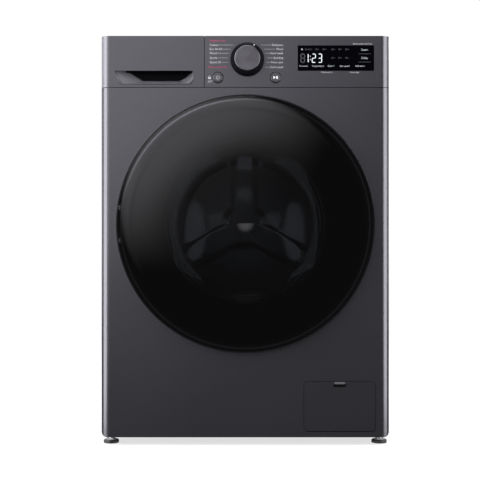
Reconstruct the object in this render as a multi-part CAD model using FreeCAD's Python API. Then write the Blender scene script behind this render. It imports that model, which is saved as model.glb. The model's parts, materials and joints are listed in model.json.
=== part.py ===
import FreeCAD, Part
import math
import os

# Front load washing machine, in millimetres.
# +X is to the right as seen from the front, +Y is to the rear, +Z is up.
# The origin is on the floor, under the centre of the outer box.

V = FreeCAD.Vector

# ---- driving dimensions ----
WIDTH = 600.0
HEIGHT = 850.0
DEPTH = 620.0                    # from the front of the door to the rear-most point
DOOR_STANDOFF = 55.0             # how far the door stands proud of the front panel
SHEET = 1.2                      # sheet metal
PLASTIC = 3.0                    # moulded walls
FLOOR_GAP = 17.0                 # floor to the underside of the cabinet
BASE_Z = 14.0                    # underside of the base pan
SEAM_Z = 743.0                   # front panel to control strip
SPLIT_X = -85.0                  # drawer front to control panel
CORNER_R = 18.0                  # rounded vertical front corners
GAP = 0.6                        # half of a visible seam
AXIS_Z = 460.0                   # height of the door, tub and drum axis
DOOR_R = 266.0
TUB_R = 257.0                    # inside of the tub
DRUM_R = 244.0                   # outside of the drum
MOUTH_R = 192.0                  # hole in the front panel

# ---- places worked out from them ----
HALF = WIDTH / 2
DOOR_FACE = -DEPTH / 2
FRONT = DOOR_FACE + DOOR_STANDOFF
BACK = DEPTH / 2
REAR = BACK - 10.0               # rear face of the cabinet sheet
STRIP_BACK = FRONT + 33.0        # rear of the control panel and the drawer front
DISH_R = DOOR_R - 12.0           # shallow dish behind the door
DISH_Y = FRONT + 15.0
DISH_SLOPE = 10.0
COLLAR = 14.0                    # depth of the rolled edge of the mouth
TUB_FRONT = FRONT + 83.0
TUB_SPLIT = FRONT + 273.0
TUB_BACK = FRONT + 461.0
DRUM_FRONT = FRONT + 99.0
DRUM_BACK = FRONT + 431.0
TUB_WALL = 5.0
NECK_R = 184.0                   # outside of the tub's neck
HINGE_X = -(DOOR_R - 11.0)
HINGE_Y = FRONT - 19.0
HINGE_ARM_Z = 34.0               # arms above and below the door's middle
HINGE_ARM_T = 6.0
DOOR_BACK = FRONT - 3.0          # rear of the door's rim
DOOR_EDGE = FRONT - 27.0         # front of the rim, where the cover begins
GRIP_Y = FRONT - 15.0            # bottom of the finger grip
HOOK_X = 222.0
HOOK_Y = FRONT - 3.0
FOLD = 24.0                      # how far each side panel goes round the rear corner
KNOB_X, KNOB_Z, KNOB_R = 4.0, 801.0, 35.0
BUTTON_R = 10.0
BUTTON_Z = 763.5
POWER_X, START_X = -57.0, 63.0
LENS_X = (109.0, 267.0)
LENS_Z = (777.5, 830.0)
FLAP_X = (121.0, 271.0)
FLAP_Z = (28.5, 133.5)
FLAP_PIVOT = (FRONT + 4.5, FLAP_Z[0] + 12.0)     # y, z
PUMP_X, PUMP_Z = 196.0, 75.0
PUMP_Y = (FRONT + 19.2, FRONT + 106.0)           # the filter chamber's two ends
FOOT_X, FOOT_Y = 282.0, (FRONT + 38.0, REAR - 38.0)
FOOT_R, FOOT_H = 16.0, 7.5
STUD_R = 6.0
SPRING_X, SPRING_Y = 205.0, 100.0
DAMPER_X, DAMPER_Y = 165.0, 44.0
HEATER_Z = AXIS_Z - 250.2
SUMP = (150.0, TUB_FRONT + 34.0)          # x, y
INLET_X, INLET_Z, INLET_R = -240.0, 790.0, 13.2
GLAND_X, GLAND_Z, LEAD_R = 235.0, 770.0, 4.3
DRAIN_X, DRAIN_Z, DRAIN_R = 262.0, 640.0, 11.0
HOUSING_X = (-292.0, -92.0)
HOUSING_Z = (744.0, 822.0)
HOUSING_BACK = 72.0
TRAY_X = (-286.0, -98.0)
TRAY_Z = (750.0, 800.0)
TRAY_BACK = 40.0
SPOUT_X, SPOUT_Y, SPOUT_R = -190.0, 46.0, 20.0


# ---- making shapes ----
def block(x, y, z):
    return Part.makeBox(x[1] - x[0], y[1] - y[0], z[1] - z[0], V(x[0], y[0], z[0]))


def rod(radius, start, end):
    """A cylinder between two points."""
    line = V(*end) - V(*start)
    return Part.makeCylinder(radius, line.Length, V(*start), line)


def tube(outer, inner, start, end):
    return rod(outer, start, end).cut(rod(inner, start, end))


def fuse(shapes):
    shapes = list(shapes)
    return shapes[0].multiFuse(shapes[1:]).removeSplitter() if len(shapes) > 1 else shapes[0]


def cut(shape, *tools):
    return shape.cut(list(tools)).removeSplitter() if tools else shape


def group(shapes):
    """Separate solids that share one node."""
    return Part.makeCompound(list(shapes))


def outline(start, steps, place):
    """A closed face. A step is a corner (u, v), or ((u, v) on the arc, (u, v) at its end)."""
    edges, here = [], place(*start)
    for step in [*steps, start]:
        if isinstance(step[0], tuple):
            mid, end = place(*step[0]), place(*step[1])
            edges.append(Part.Arc(here, mid, end).toShape())
        else:
            end = place(*step)
            if (end - here).Length < 1e-6:
                continue
            edges.append(Part.LineSegment(here, end).toShape())
        here = end
    return Part.Face(Part.Wire(edges))


def turned(start, *steps, x=0.0, z=AXIS_Z):
    """A section of (radius, y) turned about the axis that runs front to back through x, z."""
    face = outline(start, steps, lambda r, y: V(x + r, y, z))
    return face.revolve(V(x, 0, z), V(0, 1, 0), 360)


def turned_up(start, *steps, x=0.0, y=0.0):
    """A section of (radius, z) turned about an upright axis."""
    face = outline(start, steps, lambda r, h: V(x + r, y, h))
    return face.revolve(V(x, y, 0), V(0, 0, 1), 360)


def plate(start, *steps, y):
    """An (x, z) outline as a plate from y[0] to y[1]."""
    return outline(start, steps, lambda a, b: V(a, y[0], b)).extrude(V(0, y[1] - y[0], 0))


def slab(start, *steps, z):
    """An (x, y) outline as a slab from z[0] to z[1]."""
    return outline(start, steps, lambda a, b: V(a, b, z[0])).extrude(V(0, 0, z[1] - z[0]))


def is_along(edge, axis):
    ends = [v.Point for v in edge.Vertexes]
    if len(ends) < 2:
        return False
    line = ends[-1] - ends[0]
    return line.Length > 0.5 and abs(abs(line.normalize().dot(axis)) - 1) < 1e-6


def round_edges(shape, radius, axis, near=lambda p: True):
    """Rounds the straight edges that run along the axis and whose middle passes the test."""
    found = [e for e in shape.Edges if is_along(e, axis) and near(e.CenterOfMass)]
    return shape.makeFillet(radius, found)


def soft_plate(x, y, z, radius):
    """A plate across Y with rounded corners."""
    return round_edges(block(x, y, z), radius, V(0, 1, 0))


def soft_slab(x, y, z, radius):
    """A slab across Z with rounded corners."""
    return round_edges(block(x, y, z), radius, V(0, 0, 1))


def hollow_box(x, y, z, wall, open_side):
    """A box with one side left open, named such as '-y'."""
    inner = [[x[0] + wall, x[1] - wall], [y[0] + wall, y[1] - wall], [z[0] + wall, z[1] - wall]]
    axis = "xyz".index(open_side[1])
    if open_side[0] == "-":
        inner[axis][0] -= 2 * wall
    else:
        inner[axis][1] += 2 * wall
    return cut(block(x, y, z), block(*inner))


def bent_pipe(points, bend, outer, inner=None):
    """A round pipe whose straight runs are joined by tangent arcs."""
    points = [V(*p) for p in points]
    edges, here = [], points[0]
    for before, corner, after in zip(points, points[1:], points[2:]):
        back, ahead = (before - corner).normalize(), (after - corner).normalize()
        half = math.acos(max(-1.0, min(1.0, back.dot(ahead)))) / 2
        reach = bend / math.tan(half)
        first, last = corner + back * reach, corner + ahead * reach
        middle = (back + ahead).normalize()
        top = corner + middle * (bend / math.sin(half) - bend)
        edges.append(Part.LineSegment(here, first).toShape())
        edges.append(Part.Arc(first, top, last).toShape())
        here = last
    edges.append(Part.LineSegment(here, points[-1]).toShape())
    path = Part.Wire(edges)

    def swept(radius):
        ring = Part.makeCircle(radius, points[0], points[1] - points[0])
        return path.makePipeShell([Part.Wire([ring])], True, False)

    return swept(outer).cut(swept(inner)) if inner else swept(outer)


def turned_copies(shape, count, start=0.0, x=0.0, z=AXIS_Z):
    """Copies of a shape evenly spaced about the front to back axis."""
    made = []
    for i in range(count):
        copy = shape.copy()
        copy.rotate(V(x, 0, z), V(0, 1, 0), start + 360.0 * i / count)
        made.append(copy)
    return made


# ---- the cabinet ----
def front_pan(x, z, depth, wall, sides, bottom_r=0.0):
    """A pan that is open to the rear, with rounded upright front corners on the given sides."""
    def solid(inset):
        made = block((x[0] + inset, x[1] - inset), (FRONT + inset, FRONT + depth + 2 * inset),
                     (z[0] + inset, z[1] - inset))
        ends = [x[0] + inset if side < 0 else x[1] - inset for side in sides]
        made = round_edges(made, CORNER_R - inset, V(0, 0, 1),
                           lambda p: p.y < FRONT + 5 and min(abs(p.x - e) for e in ends) < 1)
        if bottom_r:
            tall = block((x[0] + inset, x[1] - inset), (FRONT - 1, FRONT + 2 * depth),
                         (z[0] + inset, z[1] + 50))
            tall = round_edges(tall, bottom_r - inset, V(0, 1, 0), lambda p: p.z < z[0] + 20)
            made = made.common(tall)
        return made

    return solid(0.0), solid(wall)


def front_panel():
    outer, inner = front_pan((-HALF, HALF), (FLOOR_GAP, SEAM_Z - GAP), 29.5, SHEET, (-1, 1), 12.0)
    sheet = cut(outer, inner)
    sheet = cut(sheet, rod(DISH_R + 1, (0, FRONT - 5, AXIS_Z), (0, FRONT + 5, AXIS_Z)))
    floor_r = DISH_R - DISH_SLOPE
    dish = turned(
        (DISH_R + 8, FRONT), (DISH_R, FRONT), (floor_r, DISH_Y), (MOUTH_R, DISH_Y),
        (MOUTH_R, DISH_Y + COLLAR), (MOUTH_R + SHEET, DISH_Y + COLLAR),
        (MOUTH_R + SHEET, DISH_Y + SHEET), (floor_r + 0.8, DISH_Y + SHEET),
        (DISH_R + 0.8, FRONT + SHEET), (DISH_R + 8, FRONT + SHEET),
    )
    hook_slot = soft_plate((HOOK_X - 11, HOOK_X + 14), (DISH_Y - 5, DISH_Y + 5),
                           (AXIS_Z - 9, AXIS_Z + 9), 3)
    flap_hole = soft_plate((FLAP_X[0], FLAP_X[1]), (FRONT - 5, FRONT + 5), FLAP_Z, 9.0)
    return cut(fuse([sheet, dish]), hook_slot, flap_hole)


def pressed_panel(u, v, depth, place):
    """The two slabs of a shallow pressing in a sheet: what to add behind it and what to cut."""
    grow = SHEET + 1.0
    added = place((u[0] - grow, u[1] + grow), (v[0] - grow, v[1] + grow), 0.0, depth + SHEET)
    removed = place(u, v, -1.0, depth)
    return added, removed


def cabinet_wrap():
    """The folded sheet that goes round both sides and the rear, before it is parted."""
    x, y, z = (-HALF, HALF), (FRONT + 30.5, REAR), (FLOOR_GAP, HEIGHT - 26.0)

    def wrap(inset):
        made = block((x[0] + inset, x[1] - inset), (y[0] - inset, y[1] - inset),
                     (z[0] - inset, z[1] + inset))
        return round_edges(made, 14 - inset, V(0, 0, 1), lambda p: p.y > 0)

    shell = cut(wrap(0.0), wrap(SHEET))
    added, removed = [], []
    for side in (-1, 1):
        def upright(u, v, near, far, side=side):
            xs = sorted((side * (HALF - near), side * (HALF - far)))
            made = block(xs, u, v)
            return round_edges(made, 20, V(1, 0, 0))

        for low, high in ((70, 250), (290, 470), (510, 690)):
            more, less = pressed_panel((y[0] + 70, y[1] - 70), (low, high), 2.0, upright)
            added.append(more)
            removed.append(less)
    service = soft_plate((-180, 180), (REAR - 5, REAR + 5), (260, 660), 30)
    strip_room = block((-HALF - 1, HALF + 1), (y[0] - 5, STRIP_BACK + 0.6), (SEAM_Z, HEIGHT))
    holes = [service, strip_room,
             rod(INLET_R + 1.5, (INLET_X, REAR - 5, INLET_Z), (INLET_X, REAR + 5, INLET_Z)),
             rod(9.0, (GLAND_X, REAR - 5, GLAND_Z), (GLAND_X, REAR + 5, GLAND_Z)),
             rod(DRAIN_R + 1, (DRAIN_X, REAR - 5, DRAIN_Z), (DRAIN_X, REAR + 5, DRAIN_Z))]
    holes += [rod(15.0, (px, REAR - 5, pz), (px, REAR + 5, pz)) for px, pz in transit_places()]
    return cut(fuse([shell, *added]), *removed, *holes)


def cabinet_sides():
    """The two painted side walls, a left and right hand pair."""
    edge = HALF - FOLD
    wrap = cabinet_wrap()
    return group(wrap.common(block(x, (-HALF, BACK), (0, HEIGHT)))
                 for x in ((-HALF - 5, -edge), (edge, HALF + 5)))


def cabinet_back():
    edge = HALF - FOLD - 0.2
    return cabinet_wrap().common(block((-edge, edge), (0, BACK), (0, HEIGHT)))


def transit_places():
    return [(sx * 220.0, pz) for sx in (-1, 1) for pz in (250.0, 610.0)]


def base_pan():
    floor_z = BASE_Z
    x, y = (-HALF + 4, HALF - 4), (FRONT + 32, REAR - 3)
    pan = round_edges(block(x, y, (floor_z, floor_z + 22)), 12, V(0, 0, 1), lambda p: p.y > 0)
    pan = pan.cut(block((x[0] + 4, x[1] - 4), (y[0] + 2.5, y[1] - 4),
                        (floor_z + 2.5, floor_z + 30)))
    pan = cut(pan, soft_slab((-90, 90), (-60, 150), (0, 50), 30))
    ribs = [block((x[0] + 1, x[1] - 1), (ry - 1.5, ry + 1.5), (floor_z + 1, floor_z + 14))
            for ry in (-110, 190)]
    rim = cut(soft_slab((-94, 94), (-64, 154), (floor_z, floor_z + 14), 33),
              soft_slab((-90, 90), (-60, 150), (0, 50), 30))
    bosses = [rod(14.5, (sx * FOOT_X, fy, floor_z), (sx * FOOT_X, fy, floor_z + 26))
              for sx in (-1, 1) for fy in FOOT_Y]
    bores = [rod(STUD_R + 0.08, (sx * FOOT_X, fy, 0), (sx * FOOT_X, fy, 80))
             for sx in (-1, 1) for fy in FOOT_Y]
    damper_feet = [block((sx * DAMPER_X - 14, sx * DAMPER_X + 14), (DAMPER_Y - 22, DAMPER_Y + 22),
                         (floor_z + 1, floor_z + 16)) for sx in (-1, 1)]
    inside = soft_slab((x[0] + 1, x[1] - 1), (y[0] + 1, y[1] - 1), (floor_z - 1, floor_z + 60), 11)
    made = fuse([pan, *ribs, rim, *[b.common(inside) for b in bosses], *damper_feet])
    return cut(made, *bores)


def worktop():
    x, y, z = (-HALF, HALF), (STRIP_BACK + 0.8, REAR + 4), (HEIGHT - 25.4, HEIGHT)
    outer = round_edges(block(x, y, z), 14, V(0, 0, 1), lambda p: p.y > 0)
    rim = [e for e in outer.Edges if abs(e.CenterOfMass.z - z[1]) < 1e-6
           and e.CenterOfMass.y > y[0] + 1]
    outer = outer.makeFillet(4.0, rim)
    inner = block((x[0] + 3, x[1] - 3), (y[0] + 3, y[1] - 3), (z[0] - 1, z[1] - 4))
    return cut(outer, round_edges(inner, 11, V(0, 0, 1), lambda p: p.y > 0))


def rear_cover():
    edge = soft_plate((-196, 196), (REAR, REAR + 1.2), (244, 676), 34)

    def raised_box(half, height, grow, radius):
        box = soft_plate((-half, half), (REAR - grow, REAR + height),
                         (AXIS_Z - half - 20, AXIS_Z + half + 20), 24 - 172 + half)
        rim = [e for e in box.Edges if abs(e.CenterOfMass.y - REAR - height) < 1e-6]
        return box.makeFillet(radius, rim)

    raised, inside = raised_box(172.0, 8.0, 0.0, 5.0), raised_box(170.5, 6.6, 1.0, 4.0)
    ring = cut(rod(134, (0, REAR + 6, AXIS_Z), (0, REAR + 9.2, AXIS_Z)),
               rod(130, (0, REAR + 5, AXIS_Z), (0, REAR + 12, AXIS_Z)))
    slots = [soft_plate((-60, 60), (REAR - 2, REAR + 12), (pz - 3, pz + 3), 2.9)
             for pz in range(584, 640, 14)]
    cover = fuse([cut(edge, soft_plate((-170, 170), (REAR - 1, REAR + 3), (270, 650), 22)),
                  cut(raised, inside), ring])
    return cut(cover, *slots)


def top_brace():
    """A channel across the top, with the eyes that the tub's springs hang from."""
    z, y = (802.0, 822.0), (SPRING_Y - 13, SPRING_Y + 13)
    x = (-HALF + SHEET + 0.3, HALF - SHEET - 0.3)
    rail = cut(block(x, y, z), block((x[0] - 1, x[1] + 1), (y[0] + 1.6, y[1] - 1.6),
                                     (z[0] - 1, z[1] - 1.6)))
    eyes = [block((sx * SPRING_X - 10, sx * SPRING_X + 10), (SPRING_Y - 1.5, SPRING_Y + 1.5),
                  (z[0] - 16, z[1] - 1)) for sx in (-1, 1)]
    holes = [rod(4.2, (sx * SPRING_X, SPRING_Y - 9, z[0] - 8), (sx * SPRING_X, SPRING_Y + 9,
                 z[0] - 8)) for sx in (-1, 1)]
    return cut(fuse([rail, *eyes]), *holes)


def foot(side, y):
    x = side * FOOT_X
    pad = turned_up((0, 0), (FOOT_R - 0.8, 0), (FOOT_R, 0.8), (FOOT_R, FOOT_H - 3),
                    ((FOOT_R - 1, FOOT_H - 1), (FOOT_R - 4, FOOT_H)), (0, FOOT_H), x=x, y=y)
    stud = rod(STUD_R, (x, y, FOOT_H - 1), (x, y, 58))
    nut = slab(*[(x + 9.2 * math.cos(math.radians(a)), y + 9.2 * math.sin(math.radians(a)))
                 for a in range(0, 360, 60)], z=(FOOT_H - 0.5, FOOT_H + 2.2))
    return fuse([pad, stud, nut])


def cabinet_fixings():
    """Pan head screws for the worktop and rear cover, and the ring that clamps the gasket."""
    places = [(sx * 250.0, 836.0, REAR + 4) for sx in (-1, 1)]
    places += [(sx * 184.0, pz, REAR + 1.2) for sx in (-1, 1) for pz in (290.0, 460.0, 630.0)]
    places += [(sx * 90.0, pz, REAR + 1.2) for sx in (-1, 1) for pz in (256.0, 664.0)]
    screws = [turned((0, y), (4.2, y), ((3.6, y + 1.7), (2.0, y + 2.4)), (0, y + 2.4), x=x, z=z)
              for x, z, y in places]
    return group([*screws, gasket_front_clamp()])


def rear_plugs():
    """Black mouldings pressed into the back: four transit bolt caps and the mains lead gland."""
    caps = [turned((0, REAR + 2.6), (17, REAR + 2.6), (18.5, REAR + 1.4), (18.5, REAR + 0.02),
                   (14.6, REAR + 0.02), (14.6, REAR - 8), (12.6, REAR - 8), (12.6, REAR),
                   (0, REAR), x=x, z=z) for x, z in transit_places()]
    return group([*caps, cord_gland()])


def cord_gland():
    flange = tube(13.0, LEAD_R, (GLAND_X, REAR + 0.02, GLAND_Z), (GLAND_X, REAR + 4, GLAND_Z))
    nose = turned((LEAD_R, REAR + 3), (9.5, REAR + 3), (7.0, REAR + 9.8), (LEAD_R, REAR + 9.8),
                  x=GLAND_X, z=GLAND_Z)
    body = tube(8.8, LEAD_R, (GLAND_X, REAR - 12, GLAND_Z), (GLAND_X, REAR + 1, GLAND_Z))
    barb = tube(11.5, 8.5, (GLAND_X, REAR - 6, GLAND_Z), (GLAND_X, REAR - 2, GLAND_Z))
    return fuse([flange, nose, body, barb])


# ---- water in ----
def inlet_valve():
    """One threaded inlet and two solenoid valves."""
    y0 = REAR - 4.0
    thread = rod(INLET_R, (INLET_X, y0 - 6, INLET_Z), (INLET_X, BACK - 0.1, INLET_Z))
    body = soft_plate((INLET_X - 26, INLET_X + 26), (y0 - 26, y0 - 1.5),
                      (INLET_Z - 20, INLET_Z + 20), 6)
    bore = rod(8.5, (INLET_X, y0 - 14, INLET_Z), (INLET_X, BACK + 1, INLET_Z))
    coils = [rod(12, (INLET_X + dx, y0 - 58, INLET_Z + 6), (INLET_X + dx, y0 - 25, INLET_Z + 6))
             for dx in (-14, 14)]
    outlet = rod(7.5, (INLET_X, y0 - 40, INLET_Z - 12), (INLET_X, y0 - 25, INLET_Z - 12))
    return cut(fuse([body, thread, *coils, outlet]), bore)


def inlet_hose():
    y1 = REAR - 4.0 - 33.0
    z = INLET_Z - 12
    start = (INLET_X, HOUSING_BACK + 0.1, z)
    return tube(9.5, 7.6, start, (INLET_X, y1, z))


def dispenser_housing():
    made = hollow_box(HOUSING_X, (STRIP_BACK + 1, HOUSING_BACK), HOUSING_Z, 2.5, "-y")
    spout = tube(SPOUT_R, SPOUT_R - 2.5, (SPOUT_X, SPOUT_Y, 722), (SPOUT_X, SPOUT_Y, 745))
    mouth = rod(SPOUT_R - 2.5, (SPOUT_X, SPOUT_Y, 720), (SPOUT_X, SPOUT_Y, 748))
    inlet_hole = rod(5.4, (INLET_X, HOUSING_BACK - 15, INLET_Z - 12),
                     (INLET_X, HOUSING_BACK + 5, INLET_Z - 12))
    stub = tube(7.4, 5.4, (INLET_X, HOUSING_BACK - 1, INLET_Z - 12),
                (INLET_X, HOUSING_BACK + 16, INLET_Z - 12))
    made = cut(fuse([made, spout]), mouth, inlet_hole)
    return fuse([made, stub])


# ---- detergent drawer ----
def finger_recess(grow):
    """The scooped handle: wide at the face, narrower and reaching up behind the lip inside."""
    face, deep = FRONT - 0.5, FRONT + 24.0 + grow
    top, low = 777.5, 748.6
    outer = outline((-272 - grow, top + grow),
                    [(-107 + grow, top + grow), (-107 + grow, 760),
                     ((-110.5 + 0.7 * grow, 752.1 - 0.7 * grow), (-119, low - grow)),
                     (-262, low - grow)], lambda a, b: V(a, face, b))
    inner = outline((-256 - grow, top + 9 + grow),
                    [(-110 + grow, top + 9 + grow), (-111.5 + grow, 780),
                     ((-124.5 + 0.7 * grow, 768.5 - 0.7 * grow), (-140, 760 - grow)),
                     (-210, 760 - grow)], lambda a, b: V(a, deep, b))
    return Part.makeLoft([outer.OuterWire, inner.OuterWire], True, True)


def drawer_front():
    x, z = (-HALF, SPLIT_X - GAP), (SEAM_Z + GAP, HEIGHT)
    outer, inner = front_pan(x, z, STRIP_BACK - FRONT, PLASTIC, (-1,))
    under_lip = block((-250, -112), (FRONT + 7, FRONT + 24), (776, 787))
    shell = cut(outer, inner)
    pocket = fuse([finger_recess(2.5), block((-253, -109), (FRONT + 4, FRONT + 26.5), (773, 790))])
    shell = fuse([shell, pocket.common(outer)])
    return cut(shell, finger_recess(0.0), under_lip)


def drawer_tray():
    x, y, z = TRAY_X, (STRIP_BACK + 0.02, TRAY_BACK), TRAY_Z
    wall = 2.0
    made = block(x, y, z)
    cells = compartments()
    made = cut(made, *[block((cx[0], cx[1]), (cy[0], cy[1]), (z[0] + wall, z[1] + 5))
                       for cx, cy in cells])
    spill = block((cells[0][0][0], cells[0][0][1]), (y[1] - 5, y[1] + 5), (z[0] + wall, z[0] + 22))
    spill_2 = block((cells[2][0][0], cells[2][0][1]), (y[1] - 5, y[1] + 5),
                    (z[0] + wall, z[0] + 22))
    made = cut(made, spill, spill_2)
    sx, sy = siphon_place()
    post = tube(3.2, 1.8, (sx, sy, z[0] + 1), (sx, sy, z[0] + 34))
    return fuse([made, post])


def compartments():
    """Main wash, softener and pre-wash: their x and y spans."""
    y = (STRIP_BACK + 2.0, TRAY_BACK - 2.0)
    return [((TRAY_X[0] + 2, -188.0), y), ((-186.0, -140.0), y), ((-138.0, TRAY_X[1] - 2), y)]


def siphon_place():
    return -163.0, -20.0


def siphon_cap():
    """The lift-out softener cap, with the siphon tube that stands over the tray's post."""
    sx, sy = siphon_place()
    top = TRAY_Z[1] - 3
    lid = soft_slab((-185.4, -140.6), (-62.0, TRAY_BACK - 2.6), (top, top + 2.4), 4)
    rim = cut(soft_slab((-184, -142), (-60.5, TRAY_BACK - 4), (top - 6, top + 1), 3),
              soft_slab((-182, -144), (-58.5, TRAY_BACK - 6), (top - 7, top), 2))
    straw = tube(6.2, 4.4, (sx, sy, TRAY_Z[0] + 6), (sx, sy, top + 1))
    tab = soft_slab((-170, -156), (-58, -50), (top + 2, top + 6), 2)
    return fuse([lid, rim, straw, tab])


# ---- controls ----
def control_panel():
    x, z = (SPLIT_X + GAP, HALF), (SEAM_Z + GAP, HEIGHT)
    outer, inner = front_pan(x, z, STRIP_BACK - FRONT, PLASTIC, (1,))
    ys = (FRONT - 5, FRONT + 8)
    holes = [rod(7.0, (KNOB_X, ys[0], KNOB_Z), (KNOB_X, ys[1], KNOB_Z))]
    holes += [rod(BUTTON_R + 0.5, (bx, ys[0], BUTTON_Z), (bx, ys[1], BUTTON_Z))
              for bx in (POWER_X, START_X)]
    window = soft_plate((LENS_X[0] - 0.25, LENS_X[1] + 0.25), ys,
                        (LENS_Z[0] - 0.25, LENS_Z[1] + 0.25), 1.5)
    return cut(cut(outer, inner), window, *holes)


def display_lens():
    pane = soft_plate(LENS_X, (FRONT + 0.1, FRONT + 4), LENS_Z, 1.3)
    flange = soft_plate((LENS_X[0] - 4, LENS_X[1] + 4), (FRONT + 3.1, FRONT + 4.6),
                        (LENS_Z[0] - 4, LENS_Z[1] + 4), 3)
    return fuse([pane, flange])


def control_board():
    """One long circuit board with the display, the knob's encoder and the two switches."""
    face = FRONT + 16.0
    board = soft_plate((-72, 284), (face, face + 1.6), (750, 840), 3)
    parts = [block((LENS_X[0] + 8, LENS_X[1] - 8), (FRONT + 5, face), (LENS_Z[0] + 5,
                   LENS_Z[1] - 5)),
             block((KNOB_X - 9, KNOB_X + 9), (FRONT + 9, face), (KNOB_Z - 9, KNOB_Z + 9))]
    parts += [block((bx - 3, bx + 3), (FRONT + 12, face), (BUTTON_Z - 3, BUTTON_Z + 3))
              for bx in (POWER_X, START_X)]
    parts += [block((px, px + 22), (face + 1.6, face + 12), (768, 800)) for px in (40, 90, 180)]
    shaft_hole = rod(3.3, (KNOB_X, FRONT + 4, KNOB_Z), (KNOB_X, face - 2, KNOB_Z))
    return cut(fuse([board, *parts]), shaft_hole)


def knob_base():
    """The black skirt of the programme knob and the shaft that turns the encoder."""
    skirt = turned((0, FRONT - 0.8), (KNOB_R - 0.8, FRONT - 0.8), (KNOB_R, FRONT - 1.6),
                   (KNOB_R, FRONT - 4), ((KNOB_R - 2.3, FRONT - 11), (KNOB_R - 7, FRONT - 17)),
                   (KNOB_R - 7, FRONT - 18.5), (0, FRONT - 18.5), x=KNOB_X, z=KNOB_Z)
    hub = rod(6.6, (KNOB_X, FRONT - 1, KNOB_Z), (KNOB_X, FRONT + 8.4, KNOB_Z))
    shaft = rod(3.2, (KNOB_X, FRONT + 8, KNOB_Z), (KNOB_X, FRONT + 13, KNOB_Z))
    return fuse([skirt, hub, shaft])


def knob_cap():
    front = FRONT - 22.0
    r = KNOB_R - 8.6
    return turned((0, FRONT - 18.5), (r, FRONT - 18.5), (r, front + 1.6),
                  ((r - 0.5, front + 0.5), (r - 1.6, front)), (0, front), x=KNOB_X, z=KNOB_Z)


def push_button(x):
    cap = turned((0, FRONT - 2.0), (BUTTON_R - 1.2, FRONT - 2.0),
                 ((BUTTON_R - 0.35, FRONT - 1.6), (BUTTON_R, FRONT - 0.8)),
                 (BUTTON_R, FRONT + 6), (0, FRONT + 6), x=x, z=BUTTON_Z)
    flange = rod(BUTTON_R + 2, (x, FRONT + 3.1, BUTTON_Z), (x, FRONT + 4.6, BUTTON_Z))
    stem = rod(2.4, (x, FRONT + 5, BUTTON_Z), (x, FRONT + 10.2, BUTTON_Z))
    return fuse([cap, flange, stem])


# ---- door ----
def at_hinge(x, y, z):
    """A block given from the hinge axis and the door's middle height."""
    return block((HINGE_X + x[0], HINGE_X + x[1]), (HINGE_Y + y[0], HINGE_Y + y[1]),
                 (AXIS_Z + z[0], AXIS_Z + z[1]))


def arm_slots():
    """The two slots that let the hinge arms swing through the back of the door."""
    half = HINGE_ARM_T / 2 + 1.6
    return [at_hinge((-20, 70), (-6.0, 60), (s * HINGE_ARM_Z - half, s * HINGE_ARM_Z + half))
            for s in (-1, 1)]


def grip_pocket(y_front, grow=0.0):
    """The finger grip at the right of the door, open at the edge and at the back."""
    return block((DOOR_R - 30 - grow, DOOR_R + 5), (y_front - grow, FRONT + 10),
                 (AXIS_Z - 48 - grow, AXIS_Z + 48 + grow))


def door_rim():
    r = DOOR_R
    wall = turned((r - 2.8, DOOR_BACK), (r - 4 + 1.3, DOOR_BACK),
                  ((r - 1.0, DOOR_BACK - 1.0), (r, DOOR_BACK - 3.5)),
                  (r, DOOR_EDGE + 1.2), ((r - 0.35, DOOR_EDGE + 0.35), (r - 1.2, DOOR_EDGE)),
                  (r - 2.8, DOOR_EDGE))
    shelf = turned((r - 1.5, FRONT - 21.5), (r - 1.5, FRONT - 19), (198, FRONT - 31),
                   (192.5, FRONT - 31), (192.5, FRONT - 12), (190, FRONT - 12),
                   (190, FRONT - 33.5), (198, FRONT - 33.5))
    pocket = at_hinge((-12, 34), (-30, 8), (-42, 42))
    pocket = pocket.common(rod(r - 2.9, (0, FRONT - 50, AXIS_Z), (0, FRONT, AXIS_Z)))
    made = cut(fuse([wall, shelf.cut(pocket)]), *arm_slots())
    return cut(made, grip_pocket(GRIP_Y))


def door_cover():
    """The tinted dome. Its edge rests on the rim's shelf."""
    r = DOOR_R - 3.1
    edge, face = DOOR_EDGE, DOOR_FACE
    t = 4.0
    outer = turned((0, face), (120, face + 1.0), ((185, face + 4.2), (232, face + 12.5)),
                   ((251, face + 18.5), (r, edge)), (r, FRONT - 22.6), (0, FRONT - 22.6))
    inner = turned((0, face + t), (120, face + 1.0 + t),
                   ((185 - 0.6, face + 4.2 + t), (232 - 1.4, face + 12.5 + t)),
                   ((249, face + 18.5 + t - 0.4), (r - 3.6, edge + 1.8)),
                   (r - 3.6, FRONT - 15), (0, FRONT - 15))
    return cut(outer, inner, at_hinge((-12, 34), (-6.5, 8), (-42, 42)))


def door_bowl():
    """The glass bowl that keeps the load off the door."""
    y = FRONT - 11.5
    return turned(
        (172, y), (189.5, y), (189.5, y + 4.5), (176, y + 4.5), ((172.5, y + 6.5), (171, y + 10)),
        (150, FRONT + 72), ((146, FRONT + 83), (134, FRONT + 88)), (0, FRONT + 97),
        (0, FRONT + 92.5), (133, FRONT + 83.5), ((142, FRONT + 79.5), (145.5, FRONT + 71)),
        (166.5, y + 9), ((168.5, y + 2), (172, y)))


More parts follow.
